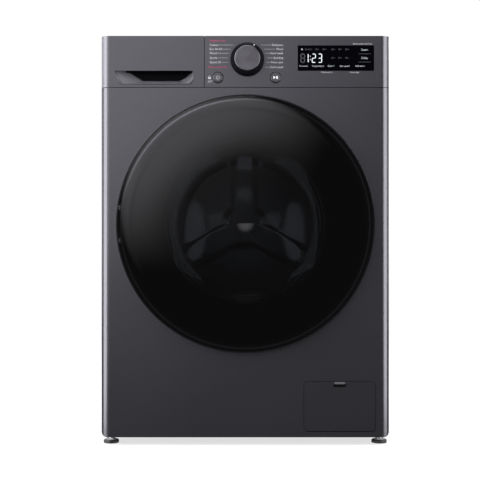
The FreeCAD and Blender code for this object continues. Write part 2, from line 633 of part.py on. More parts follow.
def door_inner_frame():
    """The rear moulding of the door, which clamps the bowl and carries the grip."""
    r = DOOR_R - 3.1
    back = FRONT + 7.0
    section = turned(
        (r, DOOR_BACK), (242, DOOR_BACK), (240, back - 2), ((239.2, back - 0.6), (238, back)),
        (180, back), ((178.3, back - 0.6), (177.5, back - 2)), (177.5, FRONT - 6.9),
        (180, FRONT - 6.9), (180, back - 2.5), (237.4, back - 2.5), (237.4, DOOR_BACK - 2.5),
        (r, DOOR_BACK - 2.5))
    slot = soft_plate((HOOK_X - 10, HOOK_X + 12), (FRONT - 5, FRONT + 20),
                      (AXIS_Z - 6, AXIS_Z + 6), 2)
    body = cut(section, grip_pocket(GRIP_Y), slot)
    liner = cut(grip_pocket(GRIP_Y, 2.0).common(rod(r, (0, FRONT - 40, AXIS_Z),
                                                    (0, DOOR_BACK, AXIS_Z))),
                grip_pocket(GRIP_Y))
    seat = block((HINGE_X + 24, HINGE_X + 40), (HINGE_Y + 2.02, FRONT + 5.5),
                 (AXIS_Z - 26, AXIS_Z + 26))
    hook_ears = [block((HOOK_X - 8, HOOK_X + 8), (HOOK_Y - 8, FRONT + 5),
                       (AXIS_Z + s - 1.5, AXIS_Z + s + 1.5)) for s in (-8, 8)]
    pin = rod(2.0, (HOOK_X, HOOK_Y, AXIS_Z - 8), (HOOK_X, HOOK_Y, AXIS_Z + 8))
    made = fuse([body, liner, seat, *hook_ears, pin])
    return cut(made, *arm_slots())


def hinge_bracket():
    """The fixed half of the hinge: a plate on the dish floor and two arms."""
    base = soft_plate((-241, -202), (DISH_Y - 3, DISH_Y), (AXIS_Z - 44, AXIS_Z + 44), 6)
    arms = []
    for s in (-1, 1):
        low = AXIS_Z + s * HINGE_ARM_Z - HINGE_ARM_T / 2
        z = (low, low + HINGE_ARM_T)
        arm = slab((HINGE_X - 1, HINGE_Y + 5.2), (HINGE_X + 14, HINGE_Y + 9),
                   (HINGE_X + 23, DISH_Y - 12), (HINGE_X + 24, DISH_Y - 2), (-204, DISH_Y - 2),
                   (-204, DISH_Y - 5), (-214, DISH_Y - 16), (HINGE_X + 30, HINGE_Y),
                   (HINGE_X + 1, HINGE_Y - 5.2), z=z)
        boss = rod(5.3, (HINGE_X, HINGE_Y, z[0]), (HINGE_X, HINGE_Y, z[1]))
        arms.append(arm.fuse(boss))
    bores = rod(3.05, (HINGE_X, HINGE_Y, AXIS_Z - 50), (HINGE_X, HINGE_Y, AXIS_Z + 50))
    return cut(fuse([base, *arms]), bores)


def door_hinge_leaf():
    """The moving half: a barrel with two pins, and a plate fixed to the inner frame."""
    reach = HINGE_ARM_Z - HINGE_ARM_T / 2 - 1.0
    barrel = rod(5.0, (HINGE_X, HINGE_Y, AXIS_Z - reach), (HINGE_X, HINGE_Y, AXIS_Z + reach))
    pins = rod(3.0, (HINGE_X, HINGE_Y, AXIS_Z - 41), (HINGE_X, HINGE_Y, AXIS_Z + 41))
    leaf = at_hinge((0, 42), (-1.5, 2.0), (-reach, reach))
    return fuse([barrel, pins, leaf])


def door_hook():
    z = (AXIS_Z - 3, AXIS_Z + 3)
    x, y = HOOK_X, HOOK_Y
    eye = rod(6.0, (x, y, z[0]), (x, y, z[1]))
    arm = slab((x - 5, y), (x - 4, y + 32), (x - 9, y + 34), (x - 9, y + 38), (x - 3, y + 41),
               (x + 3, y + 36), (x + 5, y), z=z)
    return cut(eye.fuse(arm), rod(2.06, (x, y, z[0] - 1), (x, y, z[1] + 1)))


def door_lock():
    x, y = (HOOK_X - 14, HOOK_X + 24), (DISH_Y + SHEET + 0.02, DISH_Y + 32)
    body = soft_plate(x, y, (AXIS_Z - 36, AXIS_Z + 36), 4)
    slot = block((HOOK_X - 11, HOOK_X + 14), (y[0] - 1, y[1] - 4), (AXIS_Z - 9, AXIS_Z + 9))
    return cut(body, slot)


# ---- door gasket ----
def door_gasket():
    """The rubber bellows between the front panel's mouth and the tub's neck."""
    c, n = MOUTH_R, NECK_R
    y = DISH_Y
    return turned(
        (c + 7, y - 2.4), (c - 1, y - 2.4), ((c - 3.2, y - 1.6), (c - 4, y + 1)),
        ((c - 13, y + 2), (c - 24, y - 2)), (c - 25, y + 0.4), ((c - 13, y + 6), (c - 4, y + 5)),
        (c - 3.4, y + 17), ((c + 1, y + 20.5), (c + 8, y + 21.5)),
        ((c + 11.5, y + 25.5), (c + 8, y + 29.5)),
        (n - 1, y + 31), ((n - 4.5, y + 33.5), (n - 5.6, y + 37.5)), (n - 3.0, y + 38.2),
        ((n - 2, y + 36), (n + 0.1, y + 35.6)), (n + 0.1, y + 52), (n + 3.1, y + 52),
        (n + 3.1, y + 34), (c + 9, y + 32.2), ((c + 14.6, y + 25.5), (c + 9, y + 18.8)),
        ((c + 3, y + 18), (c - 0.1, y + 15.2)), (c - 0.1, y - 0.1), (c + 7, y - 0.1))


def gasket_front_clamp():
    """The spring wire that holds the gasket's lip on the mouth."""
    wire = Part.makeTorus(MOUTH_R + 4.0, 1.25, V(0, DISH_Y - 3.7, AXIS_Z), V(0, 1, 0))
    coil = rod(2.4, (-22, DISH_Y - 4.9, AXIS_Z - MOUTH_R - 3.4),
               (22, DISH_Y - 4.9, AXIS_Z - MOUTH_R - 3.4))
    return wire.fuse(coil)


# ---- tub ----
def tub_front():
    r, t = TUB_R, TUB_WALL
    y = TUB_FRONT
    shell = turned((NECK_R - 6, y - 28), (NECK_R, y - 28), (NECK_R, y), (r + t - 6, y),
                   ((r + t - 1.8, y + 1.8), (r + t, y + 6)), (r + t, TUB_SPLIT - 8),
                   (r + t + 12, TUB_SPLIT - 8), (r + t + 12, TUB_SPLIT), (r, TUB_SPLIT),
                   (r, y + 8), ((r - 0.9, y + 5.9), (r - 3, y + t)), (NECK_R - 6, y + t))
    dx, dy = SUMP[0], SUMP[1]
    spigot = rod(19, (dx, dy, 214), (dx, dy, AXIS_Z - 200))
    inside = rod(r + 1, (0, y + 2, AXIS_Z), (0, TUB_SPLIT, AXIS_Z))
    spigot = cut(spigot, inside)
    hole = rod(16, (dx, dy, 200), (dx, dy, AXIS_Z - 190))
    return cut(fuse([shell, spigot]), hole)


def tub_rear():
    r, t = TUB_R, TUB_WALL
    y0, y1 = TUB_SPLIT + 4, TUB_BACK
    shell = turned((r, y0), (r + t + 12, y0), (r + t + 12, y0 + 8), (r + t, y0 + 8),
                   (r + t, y1 - 8), ((r + t - 2.4, y1 - 2.4), (r + t - 8, y1)),
                   (48, y1), (48, y1 + 32), (26.1, y1 + 32), (26.1, y1 + 16), (31.1, y1 + 16),
                   (31.1, y1 - t), (r - 3, y1 - t), ((r - 0.9, y1 - t - 0.9), (r, y1 - t - 3)))
    rib = block((46, r + t - 10), (y1 - 1, y1 + 10), (AXIS_Z - 2, AXIS_Z + 2))
    ribs = turned_copies(rib, 12, 15)
    rim = turned((r + t - 16, y1 - 1), (r + t - 12, y1 - 1), (r + t - 12, y1 + 10),
                 (r + t - 16, y1 + 10))
    spigot = cut(rod(20, (SPOUT_X, SPOUT_Y, AXIS_Z + 150), (SPOUT_X, SPOUT_Y, 690)),
                 rod(r + 1, (0, y0 - 30, AXIS_Z), (0, y1, AXIS_Z)))
    hanger = [block((sx * SPRING_X - 12, sx * SPRING_X + 12), (SPRING_Y - 4, SPRING_Y + 4),
                    (AXIS_Z + 130, 654)) for sx in (-1, 1)]
    lug = [block((sx * DAMPER_X - 12, sx * DAMPER_X + 12), (DAMPER_Y - 10, DAMPER_Y + 10),
                 (244, AXIS_Z - 160)) for sx in (-1, 1)]
    drum_space = rod(r + 1, (0, y0 - 30, AXIS_Z), (0, y1 - 1, AXIS_Z))
    outside = [s.cut(drum_space) for s in (*hanger, *lug)]
    made = fuse([shell, *ribs, rim, spigot, *outside])
    holes = [rod(17, (SPOUT_X, SPOUT_Y, AXIS_Z + 140), (SPOUT_X, SPOUT_Y, 700))]
    holes += [rod(4.2, (sx * SPRING_X, SPRING_Y - 9, 645), (sx * SPRING_X, SPRING_Y + 9, 645))
              for sx in (-1, 1)]
    holes += [rod(3.7, (hx, y1 - 20, HEATER_Z), (hx, y1 + 20, HEATER_Z)) for hx in (-22, 22)]
    heater_seat = block((-31, 31), (y1, y1 + 20), (HEATER_Z - 10, HEATER_Z + 10))
    return cut(made, heater_seat, *holes)


def tub_seal():
    r = TUB_R + TUB_WALL
    return turned((r + 2, TUB_SPLIT + 0.02), (r + 9, TUB_SPLIT + 0.02),
                  (r + 9, TUB_SPLIT + 3.98), (r + 2, TUB_SPLIT + 3.98))


def counterweights():
    """Two concrete blocks on the front of the tub, above and below the mouth."""
    r0, r1 = 204.0, TUB_R - 3
    y = (TUB_FRONT - 37, TUB_FRONT - 0.05)

    def at(r, angle):
        a = math.radians(angle)
        return r * math.cos(a), AXIS_Z + r * math.sin(a)

    made = []
    for middle in (90, 270):
        a0, a1 = middle - 62, middle + 62
        weight = plate(at(r0, a0), (at(r0, middle), at(r0, a1)), at(r1, a1),
                       (at(r1, middle), at(r1, a0)), y=y)
        made.append(weight)
    return group(made)


def heater():
    y0, y1 = DRUM_FRONT + 60, TUB_BACK
    legs = [rod(3.4, (hx, y0, HEATER_Z), (hx, y1 + 22, HEATER_Z)) for hx in (-22, 22)]
    bend = Part.makeTorus(22, 3.4, V(0, y0, HEATER_Z), V(0, 0, 1))
    bend = bend.common(block((-40, 40), (y0 - 40, y0), (HEATER_Z - 6, HEATER_Z + 6)))
    flange = soft_plate((-30, 30), (y1 + 0.1, y1 + 4), (HEATER_Z - 9, HEATER_Z + 9), 6)
    return fuse([*legs, bend, flange])


def drum_bearings():
    y = TUB_BACK
    return group([tube(31.05, 15.02, (0, y, AXIS_Z), (0, y + 15.9, AXIS_Z)),
                  tube(26.05, 12.52, (0, y + 17, AXIS_Z), (0, y + 31.9, AXIS_Z))])


def stator():
    y = (TUB_BACK + 11, TUB_BACK + 34)
    core = tube(98, 66, (0, y[0], AXIS_Z), (0, y[1], AXIS_Z))
    tooth = block((96, 128), (y[0] + 1, y[1] - 1), (AXIS_Z - 5.5, AXIS_Z + 5.5))
    return fuse([core, *turned_copies(tooth, 36)])


def damper_cylinders():
    made = []
    for sx in (-1, 1):
        x = sx * DAMPER_X
        body = rod(17, (x, DAMPER_Y, 34), (x, DAMPER_Y, 150))
        eye = rod(13, (x - 13, DAMPER_Y, 44), (x + 13, DAMPER_Y, 44))
        bore = rod(10.0, (x, DAMPER_Y, 62), (x, DAMPER_Y, 160))
        made.append(cut(body.fuse(eye), bore, block((x - 20, x + 20), (DAMPER_Y - 20,
                    DAMPER_Y + 20), (20, 30.1))))
    return group(made)


def damper_rods():
    made = []
    for sx in (-1, 1):
        x = sx * DAMPER_X
        shaft = rod(9.95, (x, DAMPER_Y, 80), (x, DAMPER_Y, 232))
        head = rod(11.5, (x, DAMPER_Y, 228), (x, DAMPER_Y, 243.95))
        made.append(shaft.fuse(head))
    return group(made)


def suspension_springs():
    """Two tension springs: a coil with a hook at each end."""
    low, high, coil_r, wire_r, pitch = 664.0, 774.0, 15.0, 2.2, 7.6
    made = []
    for x in (-SPRING_X, SPRING_X):
        helix = Part.makeHelix(pitch, high - low, coil_r)
        helix.translate(V(x, SPRING_Y, low))
        section = Part.Wire([Part.makeCircle(wire_r, V(x + coil_r, SPRING_Y, low), V(0, 1, 0))])
        coil = Part.Wire(helix.Edges).makePipeShell([section], True, True)
        turns = (high - low) / pitch
        angle = math.radians(360 * (turns - int(turns)))
        tip = (x + coil_r * math.cos(angle), SPRING_Y + coil_r * math.sin(angle), high)
        made.append(fuse([coil, *hook((x + coil_r, SPRING_Y, low), x, low, 645.0),
                          *hook(tip, x, high, 794.0)]))
    return group(made)


def hook(tip, x, near, eye):
    """The straight wires from the end of a coil to the cross bar that sits in its eye."""
    r, reach = 2.2, 8.0
    side = SPRING_Y + reach
    bar = rod(r, (x, SPRING_Y - reach, eye), (x, side, eye))
    leg = rod(r, (x, side, eye), (x, side, near))
    across = rod(r, (x, side, near), tip)
    return [bar, leg, across, *[Part.makeSphere(r, V(*p)) for p in
                                ((x, side, eye), (x, side, near), tip, (x, SPRING_Y - reach, eye))]]


def fill_hose():
    """The ribbed hose from the dispenser's spout to the tub."""
    r = SPOUT_R + 0.1
    steps = [(r + 3, 680), (r + 3, 694)]
    for z in (694, 701, 708, 715):
        steps.append(((r + 6.5, z + 3.5), (r + 3, z + 7)))
    steps += [(r + 3, 736), (r, 736)]
    return turned_up((r, 680), *steps, x=SPOUT_X, y=SPOUT_Y)


def sump_hose():
    """From the tub's drain spigot to the pump's inlet."""
    port = (PUMP_X, PUMP_Y[0] + 34, 118)
    sump = (SUMP[0], SUMP[1], 240)
    points = [port, (port[0], port[1], 158), (sump[0], sump[1], 188), (sump[0], sump[1], 228)]
    return bent_pipe(points, 26, 22.5, 19.1)


# ---- drum ----
def drum_front():
    """The pressed ring round the drum's mouth."""
    r, t, y0 = DRUM_R, SHEET, DRUM_FRONT
    return turned((170, y0), ((168.2, y0 - 2.4), (171, y0 - 3.6)), (r - 12, y0 + 4),
                  ((r - 3, y0 + 8), (r, y0 + 17)), (r - t, y0 + 17),
                  ((r - 3 - t * 0.7, y0 + 8 + t * 0.7), (r - 12.3, y0 + 4 + t)),
                  (172, y0 - 2.4))


def drum_shell():
    r, y0 = DRUM_R, DRUM_FRONT
    shell = tube(r, r - SHEET, (0, y0 + 17, AXIS_Z), (0, DRUM_BACK, AXIS_Z))
    hole = rod(3.0, (r - 5, 0, 0), (r + 5, 0, 0))
    holes = []
    for row in range(5):
        y = y0 + 50 + row * 56
        for i in range(24):
            h = hole.copy()
            h.translate(V(0, y, AXIS_Z))
            h.rotate(V(0, 0, AXIS_Z), V(0, 1, 0), 15 * i + (7.5 if row % 2 else 0))
            holes.append(h)
    return shell.cut(holes)


def drum_back():
    r = DRUM_R - SHEET - 0.02
    y = DRUM_BACK
    disc = turned((0, y - 14), (70, y - 14), ((84, y - 12), (92, y - 6)), (r, y - 6), (r, y),
                  (r - 1.5, y), (r - 1.5, y - 4.5), (91, y - 4.5), ((83, y - 10.4), (70, y - 12.4)),
                  (0, y - 12.4))
    return disc


def drum_lifters():
    """Three hollow-backed ridges inside the drum."""
    r = DRUM_R - SHEET
    y0, y1 = DRUM_FRONT + 22, DRUM_BACK - 20

    def ring(y, half, height, wall):
        half, height = half - wall, height - wall
        base = AXIS_Z - math.sqrt((r - 0.3) ** 2 - half ** 2)
        low = AXIS_Z - r + (0.6 if wall == 0 else -4.0)
        start = base if wall == 0 else base - 4.0
        return outline((-half, start), [((0, low - 0.4), (half, start)), (half, base),
                                        (half * 0.42, base + height * 0.8),
                                        ((0, base + height), (-half * 0.42, base + height * 0.8)),
                                        (-half, base)],
                       lambda a, b: V(a, y, b)).OuterWire

    def ridge(wall):
        rings = [ring(y0 + wall, 24, 22, wall), ring(y0 + 40, 34, 52, wall),
                 ring(y1 - 60, 34, 56, wall), ring(y1 - wall, 26, 34, wall)]
        return Part.makeLoft(rings, True, True)

    return group(turned_copies(ridge(0.0).cut(ridge(2.5)), 3))


def drum_spider():
    """Three cast arms behind the drum, with the steel shaft cast in."""
    y = DRUM_BACK + 0.05
    hub = turned((0, y), (46, y), (46, y + 6), ((38, y + 14), (34, y + 22)), (15.0, y + 23),
                 (15.0, TUB_BACK + 16.4), (12.5, TUB_BACK + 17), (12.5, TUB_BACK + 33),
                 (11, TUB_BACK + 34), (11, TUB_BACK + 60), (0, TUB_BACK + 60))
    arm = plate((20, AXIS_Z - 20), (232, AXIS_Z - 9), (232, AXIS_Z + 9), (20, AXIS_Z + 20),
                y=(y, y + 6))
    web = plate((20, AXIS_Z - 3), (228, AXIS_Z - 3), (228, AXIS_Z + 3), (20, AXIS_Z + 3),
                y=(y + 5, y + 17))
    return fuse([hub, *turned_copies(arm.fuse(web), 3, 30)])


def rotor():
    """The outer rotor of the direct drive motor."""
    y = TUB_BACK
    cup = turned((132, y + 11.5), (138, y + 11.5), (138, y + 40), ((136, y + 44), (132, y + 46)),
                 (24, y + 46), (24, y + 54), (11.05, y + 54), (11.05, y + 36.5), (24, y + 36.5),
                 (24, y + 43), (130, y + 43), (132, y + 41))
    vent = soft_plate((44, 112), (y + 30, y + 60), (AXIS_Z - 7, AXIS_Z + 7), 6.9)
    return cut(cup, *turned_copies(vent, 12))


def rotor_bolt():
    y = TUB_BACK + 60.05
    washer = rod(19, (0, y, AXIS_Z), (0, y + 3, AXIS_Z))
    corners = [(9.5 * math.cos(math.radians(a)), AXIS_Z + 9.5 * math.sin(math.radians(a)))
               for a in range(0, 360, 60)]
    head = plate(*corners, y=(y + 2, y + 11))
    return fuse([washer, head])


# ---- drain pump ----


def pump_housing():
    y0, y1 = PUMP_Y

    def along(r, a, b):
        return rod(r, (PUMP_X, a, PUMP_Z), (PUMP_X, b, PUMP_Z))

    inlet_y = y0 + 34
    solid = [along(36, y0, y1), along(34, y1 - 2, y1 + 32), along(28, y1 + 30, y1 + 92),
             rod(19, (PUMP_X, inlet_y, PUMP_Z), (PUMP_X, inlet_y, 130)),
             rod(11, (PUMP_X + 24, y1 + 15, PUMP_Z), (PUMP_X + 24, y1 + 15, 124)),
             block((PUMP_X - 16, PUMP_X + 16), (y0 + 17, y0 + 37), (16.6, PUMP_Z)),
             block((PUMP_X - 16, PUMP_X + 16), (y1 + 44, y1 + 64), (16.6, PUMP_Z))]
    space = [along(32, y0 - 1, y1 - 4), along(13, y1 - 6, y1 + 5), along(30, y1, y1 + 27),
             along(2.55, y1 + 20, y1 + 40),
             rod(16, (PUMP_X, inlet_y, PUMP_Z), (PUMP_X, inlet_y, 135)),
             rod(9, (PUMP_X + 24, y1 + 15, PUMP_Z), (PUMP_X + 24, y1 + 15, 130))]
    return cut(fuse(solid), *space)


def pump_impeller():
    y1 = PUMP_Y[1]
    hub = rod(6, (PUMP_X, y1 + 3, PUMP_Z), (PUMP_X, y1 + 24, PUMP_Z))
    blade = block((PUMP_X + 4, PUMP_X + 24), (y1 + 6, y1 + 22), (PUMP_Z - 1, PUMP_Z + 1))
    shaft = rod(2.5, (PUMP_X, y1 + 20, PUMP_Z), (PUMP_X, y1 + 38, PUMP_Z))
    return fuse([hub, shaft, *turned_copies(blade, 4, 0, PUMP_X, PUMP_Z)])


def drain_filter():
    """The screw-in filter with its grip bar and lint comb."""
    y0 = PUMP_Y[0]
    cap = turned((0, y0 - 5), (29.5, y0 - 5), (30.8, y0 - 3.6), (30.8, y0 + 16), (28.5, y0 + 16),
                 (28.5, y0 + 4), (0, y0 + 4), x=PUMP_X, z=PUMP_Z)
    grip = round_edges(block((PUMP_X - 24, PUMP_X + 24), (y0 - 13, y0 - 4),
                             (PUMP_Z - 4.5, PUMP_Z + 4.5)), 3, V(0, 1, 0))
    finger = rod(2.2, (PUMP_X + 24, y0 + 3, PUMP_Z), (PUMP_X + 24, y0 + 66, PUMP_Z))
    ring = turned((21.5, y0 + 62), (26.5, y0 + 62), (26.5, y0 + 66), (21.5, y0 + 66),
                  x=PUMP_X, z=PUMP_Z)
    return fuse([cap, grip, ring, *turned_copies(finger, 8, 22.5, PUMP_X, PUMP_Z)])


def filter_surround():
    """The plastic pocket behind the service flap, with the flap's pivot holes."""
    x = (FLAP_X[0] - 2, FLAP_X[1] + 2)
    y = (FRONT + SHEET + 0.05, PUMP_Y[0] - 0.05)
    z = (FLAP_Z[0] - 2, FLAP_Z[1] + 2)
    box = hollow_box(x, y, z, 1.8, "-y")
    hole = rod(36.2, (PUMP_X, 0, PUMP_Z), (PUMP_X, -400, PUMP_Z))
    pivot = rod(1.85, (x[0] - 5, *FLAP_PIVOT), (x[1] + 5, *FLAP_PIVOT))
    return cut(box, hole, pivot)


def filter_flap():
    gap = 0.8
    x, z = (FLAP_X[0] + gap, FLAP_X[1] - gap), (FLAP_Z[0] + 1.4, FLAP_Z[1] - gap)
    face = soft_plate(x, (FRONT, FRONT + 2.6), z, 8.0)
    top = z[1]
    notch = plate((182.5, top - 9.4), (185, top - 11.8), (207, top - 11.8), (209.5, top - 9.4),
                  (208.5, top - 5.4), (183.5, top - 5.4), y=(FRONT - 1, FRONT + 4))
    wedge = [(FRONT - 0.1, top - 1), (FRONT - 1.8, top - 5.2), (FRONT + 1, top - 5.2)]
    tab = outline((FRONT + 1, top - 1), wedge, lambda a, b: V(185.0, a, b)).extrude(V(22, 0, 0))
    lugs = [block((x[e] + (0 if e == 0 else -4), x[e] + (4 if e == 0 else 0)),
                  (FRONT + 2, FLAP_PIVOT[0] + 2.2), (FLAP_PIVOT[1] - 2.2, FLAP_PIVOT[1] + 2.2))
            for e in (0, 1)]
    pins = [rod(1.8, (FLAP_X[0] - 1.6, *FLAP_PIVOT), (x[0] + 2, *FLAP_PIVOT)),
            rod(1.8, (x[1] - 2, *FLAP_PIVOT), (FLAP_X[1] + 1.6, *FLAP_PIVOT))]
    return cut(fuse([face, tab, *lugs, *pins]), notch)


def drain_tube():
    """From the pump to the outlet spigot at the rear."""
    px, py = PUMP_X + 24, PUMP_Y[1] + 15
    points = [(px, py, 112), (px, py, 146), (272, py + 40, 146), (272, 262, 146),
              (272, 262, 560), (DRAIN_X, 262, DRAIN_Z), (DRAIN_X, BACK - 1, DRAIN_Z)]
    pipe = bent_pipe(points, 18, DRAIN_R, DRAIN_R - 2)
    sleeve = tube(13.4, 11.1, (px, py, 108), (px, py, 124.5))
    bridge = tube(13.4, 9.1, (px, py, 124.1), (px, py, 128))
    pipe = cut(pipe, rod(13.0, (px, py, 100), (px, py, 124.1)))
    return fuse([pipe, sleeve, bridge])


PARTS = {
    "cabinet_sides": cabinet_sides,
    "cabinet_back": cabinet_back,
    "base_pan": base_pan,
    "worktop": worktop,
    "front_panel": front_panel,
    "control_panel": control_panel,
    "display_lens": display_lens,
    "control_board": control_board,
    "dispenser_housing": dispenser_housing,
    "inlet_valve": inlet_valve,
    "inlet_hose": inlet_hose,
    "door_lock": door_lock,
    "hinge_bracket": hinge_bracket,
    "top_brace": top_brace,
    "rear_cover": rear_cover,
    "pump_housing": pump_housing,
    "drain_tube": drain_tube,
    "damper_cylinders": damper_cylinders,
    "rear_plugs": rear_plugs,
    "cabinet_fixings": cabinet_fixings,
    "filter_surround": filter_surround,
    "foot_front_left": lambda: foot(-1, FOOT_Y[0]),
    "foot_front_right": lambda: foot(1, FOOT_Y[0]),
    "foot_rear_left": lambda: foot(-1, FOOT_Y[1]),
    "foot_rear_right": lambda: foot(1, FOOT_Y[1]),
    "tub_front": tub_front,
    "tub_rear": tub_rear,
    "tub_seal": tub_seal,
    "counterweights": counterweights,
    "heater": heater,
    "drum_bearings": drum_bearings,
    "stator": stator,
    "damper_rods": damper_rods,
    "door_gasket": door_gasket,
    "suspension_springs": suspension_springs,
    "sump_hose": sump_hose,
    "fill_hose": fill_hose,
    "drum_front": drum_front,
    "drum_shell": drum_shell,
    "drum_back": drum_back,
    "drum_lifters": drum_lifters,
    "drum_spider": drum_spider,
    "rotor": rotor,
    "rotor_bolt": rotor_bolt,
    "door_rim": door_rim,
    "door_cover": door_cover,
    "door_bowl": door_bowl,
    "door_inner_frame": door_inner_frame,
    "door_hinge_leaf": door_hinge_leaf,
    "door_hook": door_hook,
    "drawer_front": drawer_front,
    "drawer_tray": drawer_tray,
    "siphon_cap": siphon_cap,
    "knob_base": knob_base,
    "knob_cap": knob_cap,
    "power_button": lambda: push_button(POWER_X),
    "start_button": lambda: push_button(START_X),
    "filter_flap": filter_flap,
    "drain_filter": drain_filter,
    "pump_impeller": pump_impeller,
}


def main():
    os.makedirs("parts", exist_ok=True)
    for name, make in PARTS.items():
        shape = make()
        box = shape.BoundBox
        print(f"{name:20s} solids {len(shape.Solids):3d} valid {shape.isValid()} "
              f"cm3 {shape.Volume / 1000:9.2f} x {box.XMin:.1f}..{box.XMax:.1f} "
              f"y {box.YMin:.1f}..{box.YMax:.1f} z {box.ZMin:.1f}..{box.ZMax:.1f}", flush=True)
        shape.exportStep(f"parts/{name}.step")


main()
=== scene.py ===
"""The looks of a front load washing machine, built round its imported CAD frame. Metres, front towards -Y."""

import json
import math

import bmesh
import bpy
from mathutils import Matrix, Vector
from mathutils.bvhtree import BVHTree

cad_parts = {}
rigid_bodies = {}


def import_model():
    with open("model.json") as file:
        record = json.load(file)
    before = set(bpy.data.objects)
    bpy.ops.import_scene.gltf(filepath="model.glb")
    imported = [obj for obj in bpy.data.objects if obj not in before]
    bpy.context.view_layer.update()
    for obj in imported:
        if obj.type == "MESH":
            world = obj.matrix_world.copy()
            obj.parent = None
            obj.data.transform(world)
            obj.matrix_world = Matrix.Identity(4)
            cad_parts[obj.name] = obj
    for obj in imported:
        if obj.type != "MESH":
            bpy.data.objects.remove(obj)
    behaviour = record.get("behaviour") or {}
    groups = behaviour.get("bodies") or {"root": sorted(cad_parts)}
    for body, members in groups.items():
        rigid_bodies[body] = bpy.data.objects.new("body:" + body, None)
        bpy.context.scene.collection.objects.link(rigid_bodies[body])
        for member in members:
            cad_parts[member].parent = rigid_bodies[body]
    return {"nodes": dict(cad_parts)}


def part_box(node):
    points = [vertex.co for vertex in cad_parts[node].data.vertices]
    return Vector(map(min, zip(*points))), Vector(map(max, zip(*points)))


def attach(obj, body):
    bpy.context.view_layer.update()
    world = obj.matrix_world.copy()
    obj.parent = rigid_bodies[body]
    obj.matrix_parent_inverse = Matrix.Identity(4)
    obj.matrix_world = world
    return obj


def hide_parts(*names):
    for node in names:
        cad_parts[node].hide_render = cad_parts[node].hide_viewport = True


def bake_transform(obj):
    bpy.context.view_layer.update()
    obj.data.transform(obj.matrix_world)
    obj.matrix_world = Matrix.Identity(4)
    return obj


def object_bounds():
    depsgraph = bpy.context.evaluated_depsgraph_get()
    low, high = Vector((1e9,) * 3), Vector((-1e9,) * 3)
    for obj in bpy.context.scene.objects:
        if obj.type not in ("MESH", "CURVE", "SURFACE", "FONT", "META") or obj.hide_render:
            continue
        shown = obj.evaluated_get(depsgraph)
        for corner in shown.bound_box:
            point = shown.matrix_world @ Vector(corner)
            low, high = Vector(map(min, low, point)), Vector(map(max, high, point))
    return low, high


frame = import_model()
NODES = frame["nodes"]
CAD_BOX = [list(corner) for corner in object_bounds()]
MM = 0.001

strip_low, strip_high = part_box("control_panel")
rim_low, rim_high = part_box("door_rim")
bowl_low, bowl_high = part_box("door_bowl")
drum_low, drum_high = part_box("drum_shell")
knob_low, knob_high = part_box("knob_base")
lens_low, lens_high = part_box("display_lens")
FRONT_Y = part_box("front_panel")[0].y
AXIS_Z = (rim_low.z + rim_high.z) / 2
DOOR_R = (rim_high.x - rim_low.x) / 2
DRUM_R = (drum_high.x - drum_low.x) / 2
MOUTH_R = 0.192
NECK_R = 0.184
SHEET = 0.0009
MARK_LIFT = 0.00006

# These are in millimetres, like the marks drawn from them.
KNOB_X, KNOB_Z = ((knob_low + knob_high) / 2).x / MM, ((knob_low + knob_high) / 2).z / MM
LENS_EDGE = 4
LENS = (lens_low.x / MM + LENS_EDGE, lens_high.x / MM - LENS_EDGE,
        lens_low.z / MM + LENS_EDGE, lens_high.z / MM - LENS_EDGE)



